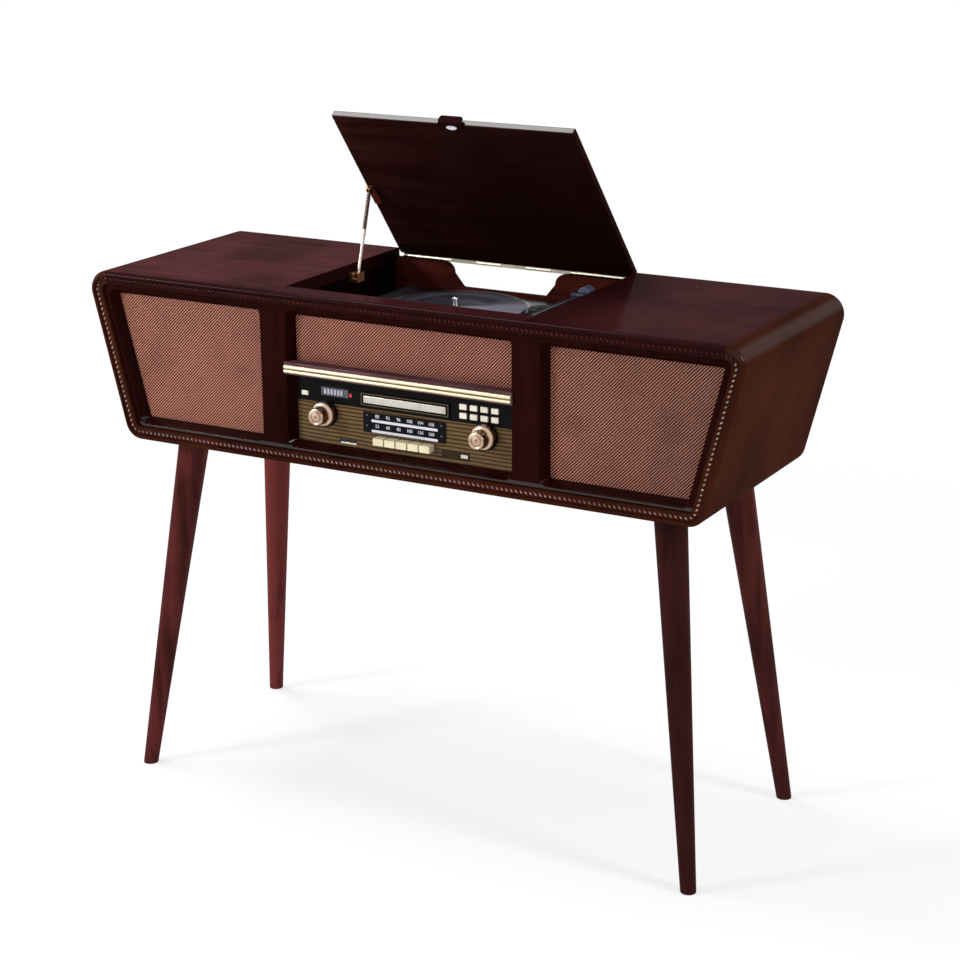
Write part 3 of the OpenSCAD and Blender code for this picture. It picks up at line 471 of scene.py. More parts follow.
@dataclass(frozen=True)
class HingeMetal:
    """Brass knuckles on a leaf of the wood's dark colour."""

    name: str
    brass: Colour
    # Dark colour of the leaf.
    painted: Colour
    knuckle_r: float = 3.3

    def make(self) -> bpy.types.Material:
        """Builds the material by the distance from the hinge's axis."""
        shade = Shade(self.name)
        _, y, z = shade.axes()
        dy, dz = y - HINGE_Y * MM, z - (LEG_H + HINGE_RISE) * MM
        knuckle = (dy * dy + dz * dz).root() < self.knuckle_r * MM
        marks = shade.noise(Brush.ALONG_X.value, 2.0)
        worn = shade.noise((160.0, 160.0, 160.0), 4.0)
        bright = shade.mix(worn.ease(0.5, 0.8) * 0.5, self.brass, dimmed(self.brass, 0.6))
        shade.bump(marks, 0.02, 0.3)
        tint = shade.mix(knuckle, self.painted, bright)
        return shade.finish(Base_Color=tint, Metallic=knuckle * 0.6,
                            Roughness=0.34 + (worn - 0.5) * 0.2, Specular_IOR_Level=0.0)


@dataclass(frozen=True)
class Metal:
    """Bare, plated or polished metal with brush marks and a little tarnish."""

    name: str
    colour: Colour
    tarnish: Colour
    roughness: float
    brush: Brush = Brush.NONE
    tarnished: float = 0.35

    def make(self) -> bpy.types.Material:
        """Builds the material."""
        shade = Shade(self.name)
        marks = shade.noise(self.brush.value, 2.0)
        blotch = shade.noise((60.0, 60.0, 60.0), 4.0)
        tint = shade.mix(blotch.ease(0.45, 0.8) * self.tarnished, self.colour, self.tarnish)
        shade.bump(marks, 0.02, 0.35)
        rough = self.roughness + (marks - 0.5) * 0.12 + (blotch - 0.5) * 0.14
        return shade.finish(Base_Color=tint, Roughness=rough, Metallic=1.0)


@dataclass(frozen=True)
class SleevedRod:
    """Chromed rod in a dark sleeve above one height."""

    name: str
    chrome: Colour
    sleeve: Colour
    sleeve_rise: float = 282.0

    def make(self) -> bpy.types.Material:
        """Builds the material, with the sleeve found in the open lid's place."""
        shade = Shade(self.name)
        sleeve = (shade.axes()[2] / MM).ease(LEG_H + self.sleeve_rise,
                                             LEG_H + self.sleeve_rise + 1.5)
        worn = shade.noise((120.0, 120.0, 60.0), 3.0)
        tint = shade.mix(sleeve, self.chrome, self.sleeve)
        return shade.finish(Base_Color=tint, Metallic=1 - 0.6 * sleeve,
                            Roughness=0.26 + (worn - 0.5) * 0.3)


@dataclass(frozen=True)
class RodBrass:
    """Pale brass of the two rods over the radio, with painted shade along the foot of each."""

    name: str
    colour: Colour
    # Colour of the painted shade along the feet, also used for the wear.
    foot: Colour
    low: float
    high: float

    def make(self) -> bpy.types.Material:
        """Builds the material between the rods' lowest and highest levels in metres."""
        shade = Shade(self.name)
        step = (shade.axes()[2] - self.low) / ((self.high - self.low) / 2)
        # Painted shade along the foot of each rod.
        foot = step.fraction().ease(0.34, 0.16)
        worn = shade.noise((25.0, 200.0, 200.0), 3.0)
        tint = shade.mix(foot * 0.85 + worn.ease(0.45, 0.8) * 0.25, self.colour, self.foot)
        return shade.finish(Base_Color=tint, Metallic=0.75, Roughness=0.34 + (worn - 0.5) * 0.1)


@dataclass(frozen=True)
class Moulded:
    """Moulded plastic, rubber or painted metal with a fine texture."""

    name: str
    colour: Colour
    roughness: float
    texture_mm: float = 0.7
    depth_mm: float = 0.02
    specular: float = 0.4
    metallic: float = 0.0

    def make(self) -> bpy.types.Material:
        """Builds the material."""
        shade = Shade(self.name)
        fine = 1000 / self.texture_mm
        grit = shade.noise((fine, fine, fine), 2.0)
        wear = shade.noise((45.0, 45.0, 45.0), 4.0)
        tint = shade.mix(wear.ease(0.35, 0.75) * 0.5, self.colour, dimmed(self.colour, 0.7))
        shade.bump(grit, self.depth_mm, 0.5)
        rough = self.roughness + (wear - 0.5) * 0.16 + (grit - 0.5) * 0.06
        return shade.finish(Base_Color=tint, Roughness=rough, Metallic=self.metallic,
                            Specular_IOR_Level=self.specular)


@dataclass(frozen=True)
class GrilleCloth:
    """Plain woven grille cloth of copper warp and dark brown weft."""

    name: str
    copper: Colour
    brown: Colour
    pitch_mm: float = 1.12
    cones: tuple[tuple[float, float, float], ...] = ((252.0, 105.0, 24.0), (388.0, 118.0, 30.0))

    def make(self) -> bpy.types.Material:
        """Builds a twill on object coordinates, with the threads' relief, painted shade between
        the threads and painted shade towards the right.
        """
        shade = Shade(self.name)
        x, _, z = shade.axes()
        across, up = x / (self.pitch_mm * MM), z / (self.pitch_mm * MM)
        column, row = across.floor(), up.floor()
        warp_on_top = ((column - row + 0.5) / 4).fraction() > 0.5
        u, v = across.fraction() - 0.5, up.fraction() - 0.5
        warp = (1 - abs(u) * 1.7) * (1 - abs(v) * 0.7)
        weft = (1 - abs(v) * 1.7) * (1 - abs(u) * 0.7)
        height = warp * warp_on_top + weft * (1 - warp_on_top) * 0.7
        slub = shade.noise((90.0, 90.0, 900.0), 3.0)
        fade = shade.noise((24.0, 24.0, 24.0), 3.0)
        fibres = shade.noise((2600.0, 2600.0, 900.0), 2.0)
        # Painted shade that darkens the cloth towards the right, to which darker rounds over the
        # speaker cones are added.
        dim = (x / MM).ease(100.0, 460.0) * 0.5
        for cone_x, cone_rise, reach in self.cones:
            dx, dz = abs(x) - cone_x * MM, z - (LEG_H + cone_rise) * MM
            dim = dim + (dx * dx + dz * dz).root().ease(reach * MM, 0.5 * reach * MM) * 0.22
        bright = shade.mix(slub.ease(0.3, 0.75) * 0.4 + fade.ease(0.4, 0.75) * 0.25 + dim,
                           self.copper, dimmed(self.copper, 0.5))
        threads = shade.mix(warp_on_top, self.brown, bright)
        # Painted shade in the gaps between the threads and at their edges.
        tint = shade.mix(height.ease(0.1, 0.6), dimmed(self.brown, 0.35), threads)
        shade.bump(height + fibres * 0.12, 0.3, 0.7)
        rough = 0.6 - 0.14 * warp_on_top + (fibres - 0.5) * 0.2
        return shade.finish(Base_Color=tint, Roughness=rough, Specular_IOR_Level=0.12)


@dataclass(frozen=True)
class RadioPlate:
    """Radio plate: a black band over zebra striped olive gold, split at one height."""

    name: str
    gold: Colour
    stripe: Colour
    black: Colour
    split_rise: float = 86.5

    def make(self) -> bpy.types.Material:
        """Builds the stripes and the band on object coordinates."""
        shade = Shade(self.name)
        _, _, z = shade.axes()
        wander = shade.noise((14.0, 5.0, 30.0), 3.0)
        wobble = shade.noise((60.0, 20.0, 90.0), 3.0)
        wave = z / MM + (wander - 0.5) * 5.0 + (wobble - 0.5) * 1.4
        bands = (wave * (math.tau / 5.4)).sine()
        thin = (wave * (math.tau / 2.3) + 1.3).sine()
        dark = bands.ease(-0.15, 0.75) * 0.8 + thin.ease(0.5, 1.0) * 0.25
        fibre = shade.noise((40.0, 40.0, 900.0), 3.0)
        ground = shade.mix(fibre.ease(0.35, 0.75), self.gold, dimmed(self.gold, 1.25))
        wood = shade.mix(dark, ground, self.stripe)
        band = z > (LEG_H + self.split_rise) * MM
        tint = shade.mix(band, wood, self.black)
        shade.bump(fibre, 0.015, 0.4)
        rough = 0.34 - 0.1 * band + (fibre - 0.5) * 0.12
        return shade.finish(Base_Color=tint, Roughness=rough, Metallic=0.2 * (1 - band),
                            Specular_IOR_Level=0.06)


@dataclass(frozen=True)
class SpunMetal:
    """Metal that was turned in a lathe, with rings round an axis along Y or Z, and a painted sheen
    towards one side.
    """

    name: str
    colour: Colour
    shadow: Colour
    centres: tuple[Point2, ...]
    upright: bool = True
    roughness: float = 0.22
    ring_mm: float = 0.5
    metallic: float = 1.0
    ringed: float = 0.35
    # Share and direction of the painted sheen: lighter towards one side, darker elsewhere.
    painted_sheen: float = 0.0
    toward: Point2 = (0.98, -0.2)
    worn: float = 0.3

    def make(self) -> bpy.types.Material:
        """Builds rings round the nearest centre, given in metres, and the painted sheen."""
        shade = Shade(self.name)
        x, y, z = shade.axes()
        other = y if self.upright else z
        first, last = self.centres[0], self.centres[-1]
        past = x > (first[0] + last[0]) / 2
        dx, dy = x - first[0] - past * (last[0] - first[0]), other - first[1]
        rings = (dx * dx + dy * dy).root()
        along = (dx * self.toward[0] + dy * self.toward[1]) / (rings + 0.001)
        # Painted highlight towards one side; the same share darkens the rest as painted shade.
        sweep = (along * along * along).ease(0.05, 0.8) * self.painted_sheen
        turned = (rings * (math.tau / (self.ring_mm * MM))).sine() * 0.5 + 0.5
        patches = shade.noise((110.0, 110.0, 110.0), 3.0)
        shaded = turned * self.ringed + patches.ease(0.4, 0.8) * self.worn + self.painted_sheen
        tint = shade.mix(shaded - 1.6 * sweep, self.colour, self.shadow)
        shade.bump(turned, 0.02, 0.5)
        rough = self.roughness + (patches - 0.5) * 0.14 + turned * 0.05
        return shade.finish(Base_Color=tint, Roughness=rough, Metallic=self.metallic,
                            Specular_IOR_Level=0.15)


@dataclass(frozen=True)
class Glow:
    """Lit or glazed display behind dark glass."""

    name: str
    dark: Colour
    lit: Colour

    def make(self) -> bpy.types.Material:
        """Builds the display's dark glass with a faint pattern of segments."""
        shade = Shade(self.name)
        haze = shade.noise((300.0, 300.0, 300.0), 3.0)
        tint = shade.mix(haze.ease(0.3, 0.8), self.dark, self.lit)
        return shade.finish(Base_Color=tint, Roughness=0.12 + haze * 0.1)


class Finishes:
    """Every finish of the object, made once."""

    def __init__(self) -> None:
        """Builds the materials by name."""
        spindle = (SPINDLE[0] * MM, SPINDLE[1] * MM)
        knobs = tuple(((RADIO_X + side * KNOB_DX) * MM, (LEG_H + KNOB_RISE) * MM)
                      for side in (-1, 1))
        made = [
            # The top's lilac tint is a painted reflection, and painted shade darkens it towards
            # the right.
            TopLacquer("top_lacquer", paint(78, 38, 41), paint(36, 12, 13), Grain.ALONG_X, 0.035,
                       light_at=-250, dark_at=350, painted_side_shade=0.4, figured=0.3),
            # The sides and bottom take a browner copy of the wood's stain, as a painted warm
            # reflection.
            SideLacquer("side_lacquer", paint(66, 30, 17), paint(38, 16, 9), Grain.ALONG_Z, 0.02,
                        figured=0.2),
            # Painted shade darkens the legs towards the right, and a painted reflection lightens
            # the rear pair.
            LegLacquer("leg_lacquer", paint(104, 44, 42), paint(24, 5, 3), Grain.ALONG_Z, 0.1,
                       light_at=-250, dark_at=250, painted_side_shade=0.75, figured=0.4),
            # Painted shade darkens the lid's underside towards the right.
            LidLacquer("lid_lacquer", paint(92, 48, 46), paint(26, 9, 7), Grain.ALONG_X, 0.02,
                       light_at=-420, dark_at=40, painted_side_shade=0.9, figured=0.4),
            # The front board takes a darker copy of the wood's stain, as painted shade.
            BaffleLacquer("baffle_lacquer", paint(44, 13, 10), paint(22, 5, 4), Grain.ALONG_Z,
                          0.03, figured=0.4),
            # The shelf takes a lighter lilac copy of the wood's stain, as painted light and
            # painted reflection.
            Lacquer("shelf_lacquer", paint(120, 84, 92), paint(58, 26, 30), Grain.ALONG_X, 0.25),
            RopeLacquer("rope_lacquer", paint(82, 32, 30), paint(34, 10, 9), Grain.ALONG_X, 0.3,
                        0.3, 0.08),
            Lacquer("back_lacquer", paint(84, 34, 28), paint(46, 17, 15), Grain.ALONG_X, 0.03),
            # The well's near black stain is painted shade in the recess.
            Lacquer("well_lacquer", paint(18, 5, 4), paint(9, 2, 2), Grain.ALONG_X, 0.0),
            GrilleCloth("grille_weave", paint(238, 156, 131), paint(10, 3, 1)),
            RodBrass("trim_brass", paint(232, 216, 178), paint(96, 58, 34),
                     *(corner.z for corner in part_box("gold_trim"))),
            HingeMetal("hinge_brass", paint(240, 232, 208), paint(30, 11, 9)),
            Metal("stay_brass", paint(176, 120, 78), paint(76, 40, 22), 0.4, Brush.NONE, 0.6),
            SleevedRod("rod_chrome", paint(196, 184, 172), paint(70, 46, 38)),
            Metal("spindle_chrome", paint(232, 232, 236), paint(160, 160, 166), 0.14),
            Metal("plain_steel", paint(160, 162, 166), paint(105, 106, 110), 0.36, Brush.ALONG_Y),
            Metal("tray_silver", paint(212, 206, 196), paint(112, 104, 96), 0.3, Brush.ALONG_X),
            Metal("arm_metal", paint(130, 134, 150), paint(70, 74, 88), 0.3, Brush.ALONG_Y),
            Metal("pulley_brass", paint(200, 170, 96), paint(130, 100, 50), 0.25),
            Moulded("weight_paint", paint(96, 104, 128), 0.3, 0.5, 0.02, 0.3, 0.2),
            Moulded("deck_black", paint(26, 25, 29), 0.3, 0.8, 0.03),
            Moulded("arm_black", paint(24, 24, 28), 0.22, 0.6, 0.01, 0.5),
            Moulded("belt_rubber", paint(22, 22, 23), 0.7, 0.5, 0.03, 0.2),
            Moulded("motor_paint", paint(130, 132, 136), 0.45),
            Moulded("pull_dark", paint(34, 14, 16), 0.3, 0.8, 0.01, 0.0),
            # White of the pull's oval, a painted highlight.
            Moulded("eyelet_highlight_white", paint(242, 240, 246), 0.3, 0.8, 0.01, 0.4),
            Metal("bezel_olive", paint(132, 116, 82), paint(84, 70, 46), 0.4, Brush.ALONG_X),
            Moulded("button_cream", paint(244, 238, 216), 0.26, 0.6, 0.008, 0.5),
            Moulded("key_ivory", paint(238, 226, 190), 0.28, 0.6, 0.01, 0.5),
            Moulded("dial_black", paint(17, 17, 20), 0.3, 0.8, 0.006, 0.06),
            Moulded("dial_print", paint(236, 238, 244), 0.4, 0.4, 0.006),
            Moulded("dial_bar", paint(224, 226, 236), 0.3, 0.5, 0.01),
            Moulded("speaker_black", paint(28, 28, 30), 0.55, 0.8, 0.05),
            Moulded("board_green", paint(40, 92, 52), 0.42, 0.9, 0.04),
            Moulded("terminal_black", paint(26, 26, 28), 0.45, 0.6, 0.03),
            Moulded("socket_brown", paint(58, 44, 35), 0.5, 0.8, 0.01, 0.05),
            Moulded("slot_dark", paint(8, 8, 9), 0.6, 0.6, 0.03),
            Moulded("red_lamp", paint(206, 30, 40), 0.25, 0.5, 0.01, 0.5),
            Glow("screen_glass", paint(60, 62, 72), paint(92, 94, 106)),
            Glow("screen_figures", paint(170, 172, 180), paint(200, 202, 210)),
            RadioPlate("radio_plate", paint(108, 86, 58), paint(50, 36, 23), paint(13, 12, 13)),
            # The knobs' silver upper left and copper lower right are a painted highlight and
            # painted shade.
            SpunMetal("knob_brass", paint(236, 214, 190), paint(122, 70, 42), knobs, False, 0.2,
                      5.4, ringed=0.4, painted_sheen=0.34, toward=(-0.5, 0.87)),
            SpunMetal("platter_metal", paint(120, 118, 134), paint(70, 68, 82), (spindle,)),
            # The mat's lilac side and near black side are a painted reflection.
            SpunMetal("mat_grey", paint(138, 136, 156), paint(18, 16, 23), (spindle,), True, 0.4,
                      3.2, 0.0, ringed=0.2, painted_sheen=0.8, worn=0.0),
        ]
        self.by_name = {finish.name: finish.make() for finish in made}

    def __getitem__(self, name: str) -> bpy.types.Material:
        """Gives a material by its name."""
        return self.by_name[name]


# Meshes


def arc(centre: Point2, radius: float, start: float, end: float, steps: int) -> list[Point2]:
    """Gives points on an arc.

    Args:
        centre: Centre of the arc.
        radius: Its radius.
        start: First angle in degrees.
        end: Last angle in degrees.
        steps: How many chords it has.

    Returns:
        The points from start to end.
    """
    angles = [math.radians(start + (end - start) * i / steps) for i in range(steps + 1)]
    return [(centre[0] + radius * math.cos(a), centre[1] + radius * math.sin(a)) for a in angles]


def rounded_box(x: float, z: float, width: float, height: float, radius: float,
                steps: int = 5) -> list[Point2]:
    """Gives an anticlockwise rectangle about a middle point, with rounded corners."""
    dx, dz = width / 2 - radius, height / 2 - radius
    corners = [(dx, dz, 0), (-dx, dz, 90), (-dx, -dz, 180), (dx, -dz, 270)]
    return [p for cx, cz, turn in corners
            for p in arc((x + cx, z + cz), radius, turn, turn + 90, steps)]


def round_corners(centres: Sequence[Point2], radius: float, steps: int = 8) -> list[Point2]:
    """Rounds an anticlockwise convex outline whose points are its corners' centres."""
    outline = []
    count = len(centres)
    for i, centre in enumerate(centres):
        before, after = centres[i - 1], centres[(i + 1) % count]
        start = math.degrees(math.atan2(centre[1] - before[1], centre[0] - before[0])) - 90
        end = math.degrees(math.atan2(after[1] - centre[1], after[0] - centre[0])) - 90
        while end < start:
            end += 360
        outline += arc(centre, radius, start, end, steps)
    return outline


def slab(outline: Sequence[Point2], front: float, back: float) -> bmesh.types.BMesh:
    """Makes an upright slab from an outline in X and height above the underside, in mm."""
    made = bmesh.new()
    rings = [[made.verts.new(place(x, y, rise)) for x, rise in outline] for y in (front, back)]
    made.faces.new(rings[0])
    made.faces.new(rings[1][::-1])
    count = len(outline)
    for i in range(count):
        j = (i + 1) % count
        made.faces.new((rings[0][j], rings[0][i], rings[1][i], rings[1][j]))
    bmesh.ops.recalc_face_normals(made, faces=made.faces)
    return made


def lathe(profile: Sequence[Point2], centre: Vector, axis: Vector,
          steps: int = 64) -> bmesh.types.BMesh:
    """Turns a closed profile of radius and distance along an axis, in mm.

    Args:
        profile: Radius and distance of each point; a radius of 0 lies on the axis.
        centre: Where the axis starts, in metres.
        axis: Direction of the axis.
        steps: How many sides the shape has.

    Returns:
        The mesh, with its poles closed.
    """
    made = bmesh.new()
    turn = axis.to_track_quat("Z", "Y").to_matrix()
    rings = []
    for radius, along in profile:
        if radius <= 0:
            rings.append([made.verts.new(centre + turn @ Vector((0, 0, along)) * MM)])
            continue
        rings.append([made.verts.new(centre + turn @ Vector((
            radius * math.cos(math.tau * i / steps), radius * math.sin(math.tau * i / steps),
            along)) * MM) for i in range(steps)])
    for one, two in zip(rings, rings[1:] + rings[:1]):
        if len(one) == 1 and len(two) == 1:
            continue
        for i in range(steps):
            j = (i + 1) % steps
            corners = [one[i % len(one)], one[j % len(one)], two[j % len(two)], two[i % len(two)]]
            made.faces.new(list(dict.fromkeys(corners)))
    bmesh.ops.recalc_face_normals(made, faces=made.faces)
    return made


def copy_of(node: str) -> bmesh.types.BMesh:
    """Copies a CAD node's mesh, merged and with its flat faces joined."""
    made = bmesh.new()
    made.from_mesh(frame["nodes"][node].data)
    bmesh.ops.remove_doubles(made, verts=made.verts, dist=2e-6)
    bmesh.ops.dissolve_limit(made, angle_limit=math.radians(0.6), verts=made.verts,
                             edges=made.edges, use_dissolve_boundaries=False)
    return made


def bake(obj: bpy.types.Object) -> None:
    """Turns an object with live modifiers into a plain mesh."""
    graph = bpy.context.evaluated_depsgraph_get()
    mesh = bpy.data.meshes.new_from_object(obj.evaluated_get(graph), depsgraph=graph)
    obj.modifiers.clear()
    obj.data = mesh


def cut(target: bmesh.types.BMesh, low: Vector, high: Vector) -> bmesh.types.BMesh:
    """Cuts a box out of a closed mesh.

    Args:
        target: The mesh, which is freed.
        low: The box's lowest corner, in metres.
        high: Its highest corner.

    Returns:
        The mesh that is left.
    """
    whole = bpy.data.objects.new("whole", bpy.data.meshes.new("whole"))
    target.to_mesh(whole.data)
    target.free()
    tool_mesh = bmesh.new()
    bmesh.ops.create_cube(tool_mesh, size=1.0)
    for vertex in tool_mesh.verts:
        vertex.co = Vector((low[i] if vertex.co[i] < 0 else high[i]) for i in range(3))
    tool = bpy.data.objects.new("tool", bpy.data.meshes.new("tool"))
    tool_mesh.to_mesh(tool.data)
    tool_mesh.free()
    for each in (whole, tool):
        bpy.context.scene.collection.objects.link(each)
    modifier = whole.modifiers.new("cut", "BOOLEAN")
    modifier.operation, modifier.solver, modifier.object = "DIFFERENCE", "EXACT", tool
    bpy.context.view_layer.update()
    bake(whole)
    left = bmesh.new()
    left.from_mesh(whole.data)
    for each in (whole, tool):
        bpy.data.objects.remove(each)
    return left


@dataclass
class Piece:
    """One finished piece of the scene."""

    name: str
    body: str
    finish: bpy.types.Material
    slot: str
    stands_for: tuple[str, ...] = ()
    edge_mm: float = 0.3
    edge_steps: int = 2
    crease: float = 35.0
    bevel_where: EdgeTest = None

    def make(self, shape: bmesh.types.BMesh) -> bpy.types.Object:
        """Makes the object: smooth faces, softened edges, its finish and its body.

        Args:
            shape: The mesh, which is freed.

        Returns:
            The object.
        """
        sharp = math.radians(self.crease)
        for face in shape.faces:
            face.smooth = True
        for edge in shape.edges:
            edge.smooth = len(edge.link_faces) == 2 and edge.calc_face_angle(0.0) < sharp
        if self.bevel_where is not None:
            weights = shape.edges.layers.float.new("bevel_weight_edge")
            for edge in shape.edges:
                edge[weights] = 1.0 if self.bevel_where(edge) else 0.0
        mesh = bpy.data.meshes.new(self.name)
        shape.to_mesh(mesh)
        shape.free()
        obj = bpy.data.objects.new(self.name, mesh)
        bpy.context.scene.collection.objects.link(obj)
        if self.edge_mm > 0:
            bevel = obj.modifiers.new("edges", "BEVEL")
            bevel.width = self.edge_mm * MM
            bevel.segments = self.edge_steps
            bevel.limit_method = "WEIGHT" if self.bevel_where is not None else "ANGLE"
            bevel.angle_limit = sharp
            bevel.miter_outer = "MITER_ARC"
        even = obj.modifiers.new("even", "WEIGHTED_NORMAL")
        even.keep_sharp = True
        bake(obj)
        obj.data.materials.clear()
        obj.data.materials.append(self.finish)
        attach(obj, self.body)
        if self.stands_for:
            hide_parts(*self.stands_for)
        LOG.info("%s on %s: %d faces", self.name, self.body, len(obj.data.polygons))
        return obj


def dress(node: str, finish: bpy.types.Material, edge_mm: float = 0.3, crease: float = 35.0,
          steps: int = 2, where: EdgeTest = None) -> bpy.types.Object:
    """Replaces a CAD node by its own shape with softened edges and a finish.

    Args:
        node: Name of the node.
        finish: Its material.
        edge_mm: How far back an edge is rounded.
        crease: Least angle of an edge that is rounded, in degrees.
        steps: How many facets the rounding has.
        where: Tells which edges are rounded, in place of the angle.

    Returns:
        The piece.
    """
    record = next(s for s in frame["record"]["subparts"] if s["node"] == node)
    body = frame["nodes"][node]["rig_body"]
    piece = Piece(f"{node}_finished", body, finish, record["material_slot"], (node,), edge_mm,
                  steps, crease, where)
    return piece.make(copy_of(node))


def dress_all(finishes: "Finishes", rows: Iterable[tuple[str, str, float, int]]) -> None:
    """Dresses nodes.

    Args:
        finishes: All the finishes.
        rows: Each node's name, finish, rounding in mm and number of facets in the rounding.
    """
    for node, finish, edge_mm, steps in rows:
        dress(node, finishes[finish], edge_mm, steps=steps)


# Geometry Nodes


class Repeat(Nodes):
    """Geometry Nodes that repeat a shape, turned into a plain mesh."""

    KINDS = {int: "Int", float: "Float", tuple: "Vector", bpy.types.Material: "Material"}

    def __init__(self, name: str, inputs: dict[str, object]) -> None:
        """Makes an empty tree with named inputs.

        Args:
            name: Name of the tree.
            inputs: Value of each input by name, whose type gives the socket's.
        """
        super().__init__(bpy.data.node_groups.new(name, "GeometryNodeTree"))
        self.values = inputs
        face = self.tree.interface
        face.new_socket("Geometry", in_out="INPUT", socket_type="NodeSocketGeometry")
        face.new_socket("Geometry", in_out="OUTPUT", socket_type="NodeSocketGeometry")
        for key, value in inputs.items():
            kind = f"NodeSocket{self.KINDS[type(value)]}"
            face.new_socket(key, in_out="INPUT", socket_type=kind)
        self.start = self.tree.nodes.new("NodeGroupInput")
        self.end = self.tree.nodes.new("NodeGroupOutput")

    def given(self, name: str) -> bpy.types.NodeSocket:
        """Gives the socket of a named input."""
        return self.start.outputs[name]

    def close(self, geometry: bpy.types.Node) -> None:
        """Ends the tree in Realize Instances, smooth faces and Set Material."""
        real = self.add("GeometryNodeRealizeInstances", {"Geometry": geometry})
        smooth = self.add("GeometryNodeSetShadeSmooth", {"Geometry": real})
        self.feed(self.end.inputs[0], self.add("GeometryNodeSetMaterial", {
            "Geometry": smooth, "Material": self.given("Material")}))

    def run(self, name: str, body: str, slot: str, mesh: bpy.types.Mesh) -> bpy.types.Object:
        """Runs the tree on a mesh and keeps the result as a plain piece.

        Args:
            name: Name of the piece.
            body: Body that it rides on.
            slot: Its material slot in the record; not used.
            mesh: What the tree starts from.

        Returns:
            The piece.
        """
        obj = bpy.data.objects.new(name, mesh)
        bpy.context.scene.collection.objects.link(obj)
        modifier = obj.modifiers.new("repeat", "NODES")
        modifier.node_group = self.tree
        for item in self.tree.interface.items_tree:
            if item.in_out == "INPUT" and item.name in self.values:
                modifier[item.identifier] = self.values[item.name]
        bpy.context.view_layer.update()
        bake(obj)
        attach(obj, body)
        LOG.info("%s on %s: %d faces", name, body, len(obj.data.polygons))
        return obj


def points_mesh(points: Iterable[Vector], closed: bool = False) -> bpy.types.Mesh:
    """Makes a mesh of bare points, or of one closed loop of edges."""
    points = list(points)
    mesh = bpy.data.meshes.new("points")
    count = len(points)
    edges = [(i, (i + 1) % count) for i in range(count)] if closed else []
    mesh.from_pydata([tuple(p) for p in points], edges, [])
    return mesh


def screws(name: str, body: str, slot: str, finish: bpy.types.Material, points: Iterable[Vector],
           radius: float, turn: tuple[float, float, float]) -> bpy.types.Object:
    """Sets round screw heads with a slot on points.

    Args:
        name: Name of the piece.
        body: Body that it rides on.
        slot: Its material slot in the record.
        finish: Material of the heads.
        points: Where the heads sit, in metres.
        radius: Radius of a head in mm.
        turn: Turn of the heads, whose tops face up before it.

    Returns:
        The piece.
    """
    tree = Repeat(f"{name}_tree", {"Head": radius * MM, "Turn": turn, "Material": finish})
    dome = tree.add("GeometryNodeMeshUVSphere",
                    {"Segments": 12, "Rings": 6, "Radius": tree.given("Head")})
    flat = tree.add("GeometryNodeTransform", {"Geometry": dome, "Scale": (1.0, 1.0, 0.42)})
    bar = tree.add("GeometryNodeMeshCube", {"Size": Vector((3.0, 0.28, 0.5)) * radius * MM})
    raised = tree.add("GeometryNodeTransform",
                      {"Geometry": bar, "Translation": (0, 0, 0.45 * radius * MM)})
    slotted = tree.add("GeometryNodeMeshBoolean", {"Mesh 1": flat, "Mesh 2": raised},
                       operation="DIFFERENCE")
    tree.close(tree.add("GeometryNodeInstanceOnPoints", {
        "Points": tree.given("Geometry"), "Instance": slotted, "Rotation": tree.given("Turn")}))
    return tree.run(name, body, slot, points_mesh(points))


# Sub-assemblies

INSIDE = (("left_speaker", "speaker_black", 0.5, 2), ("right_speaker", "speaker_black", 0.5, 2),
          ("amplifier_board", "board_green", 0.3, 2), ("rear_terminals", "terminal_black", 0.4, 2))


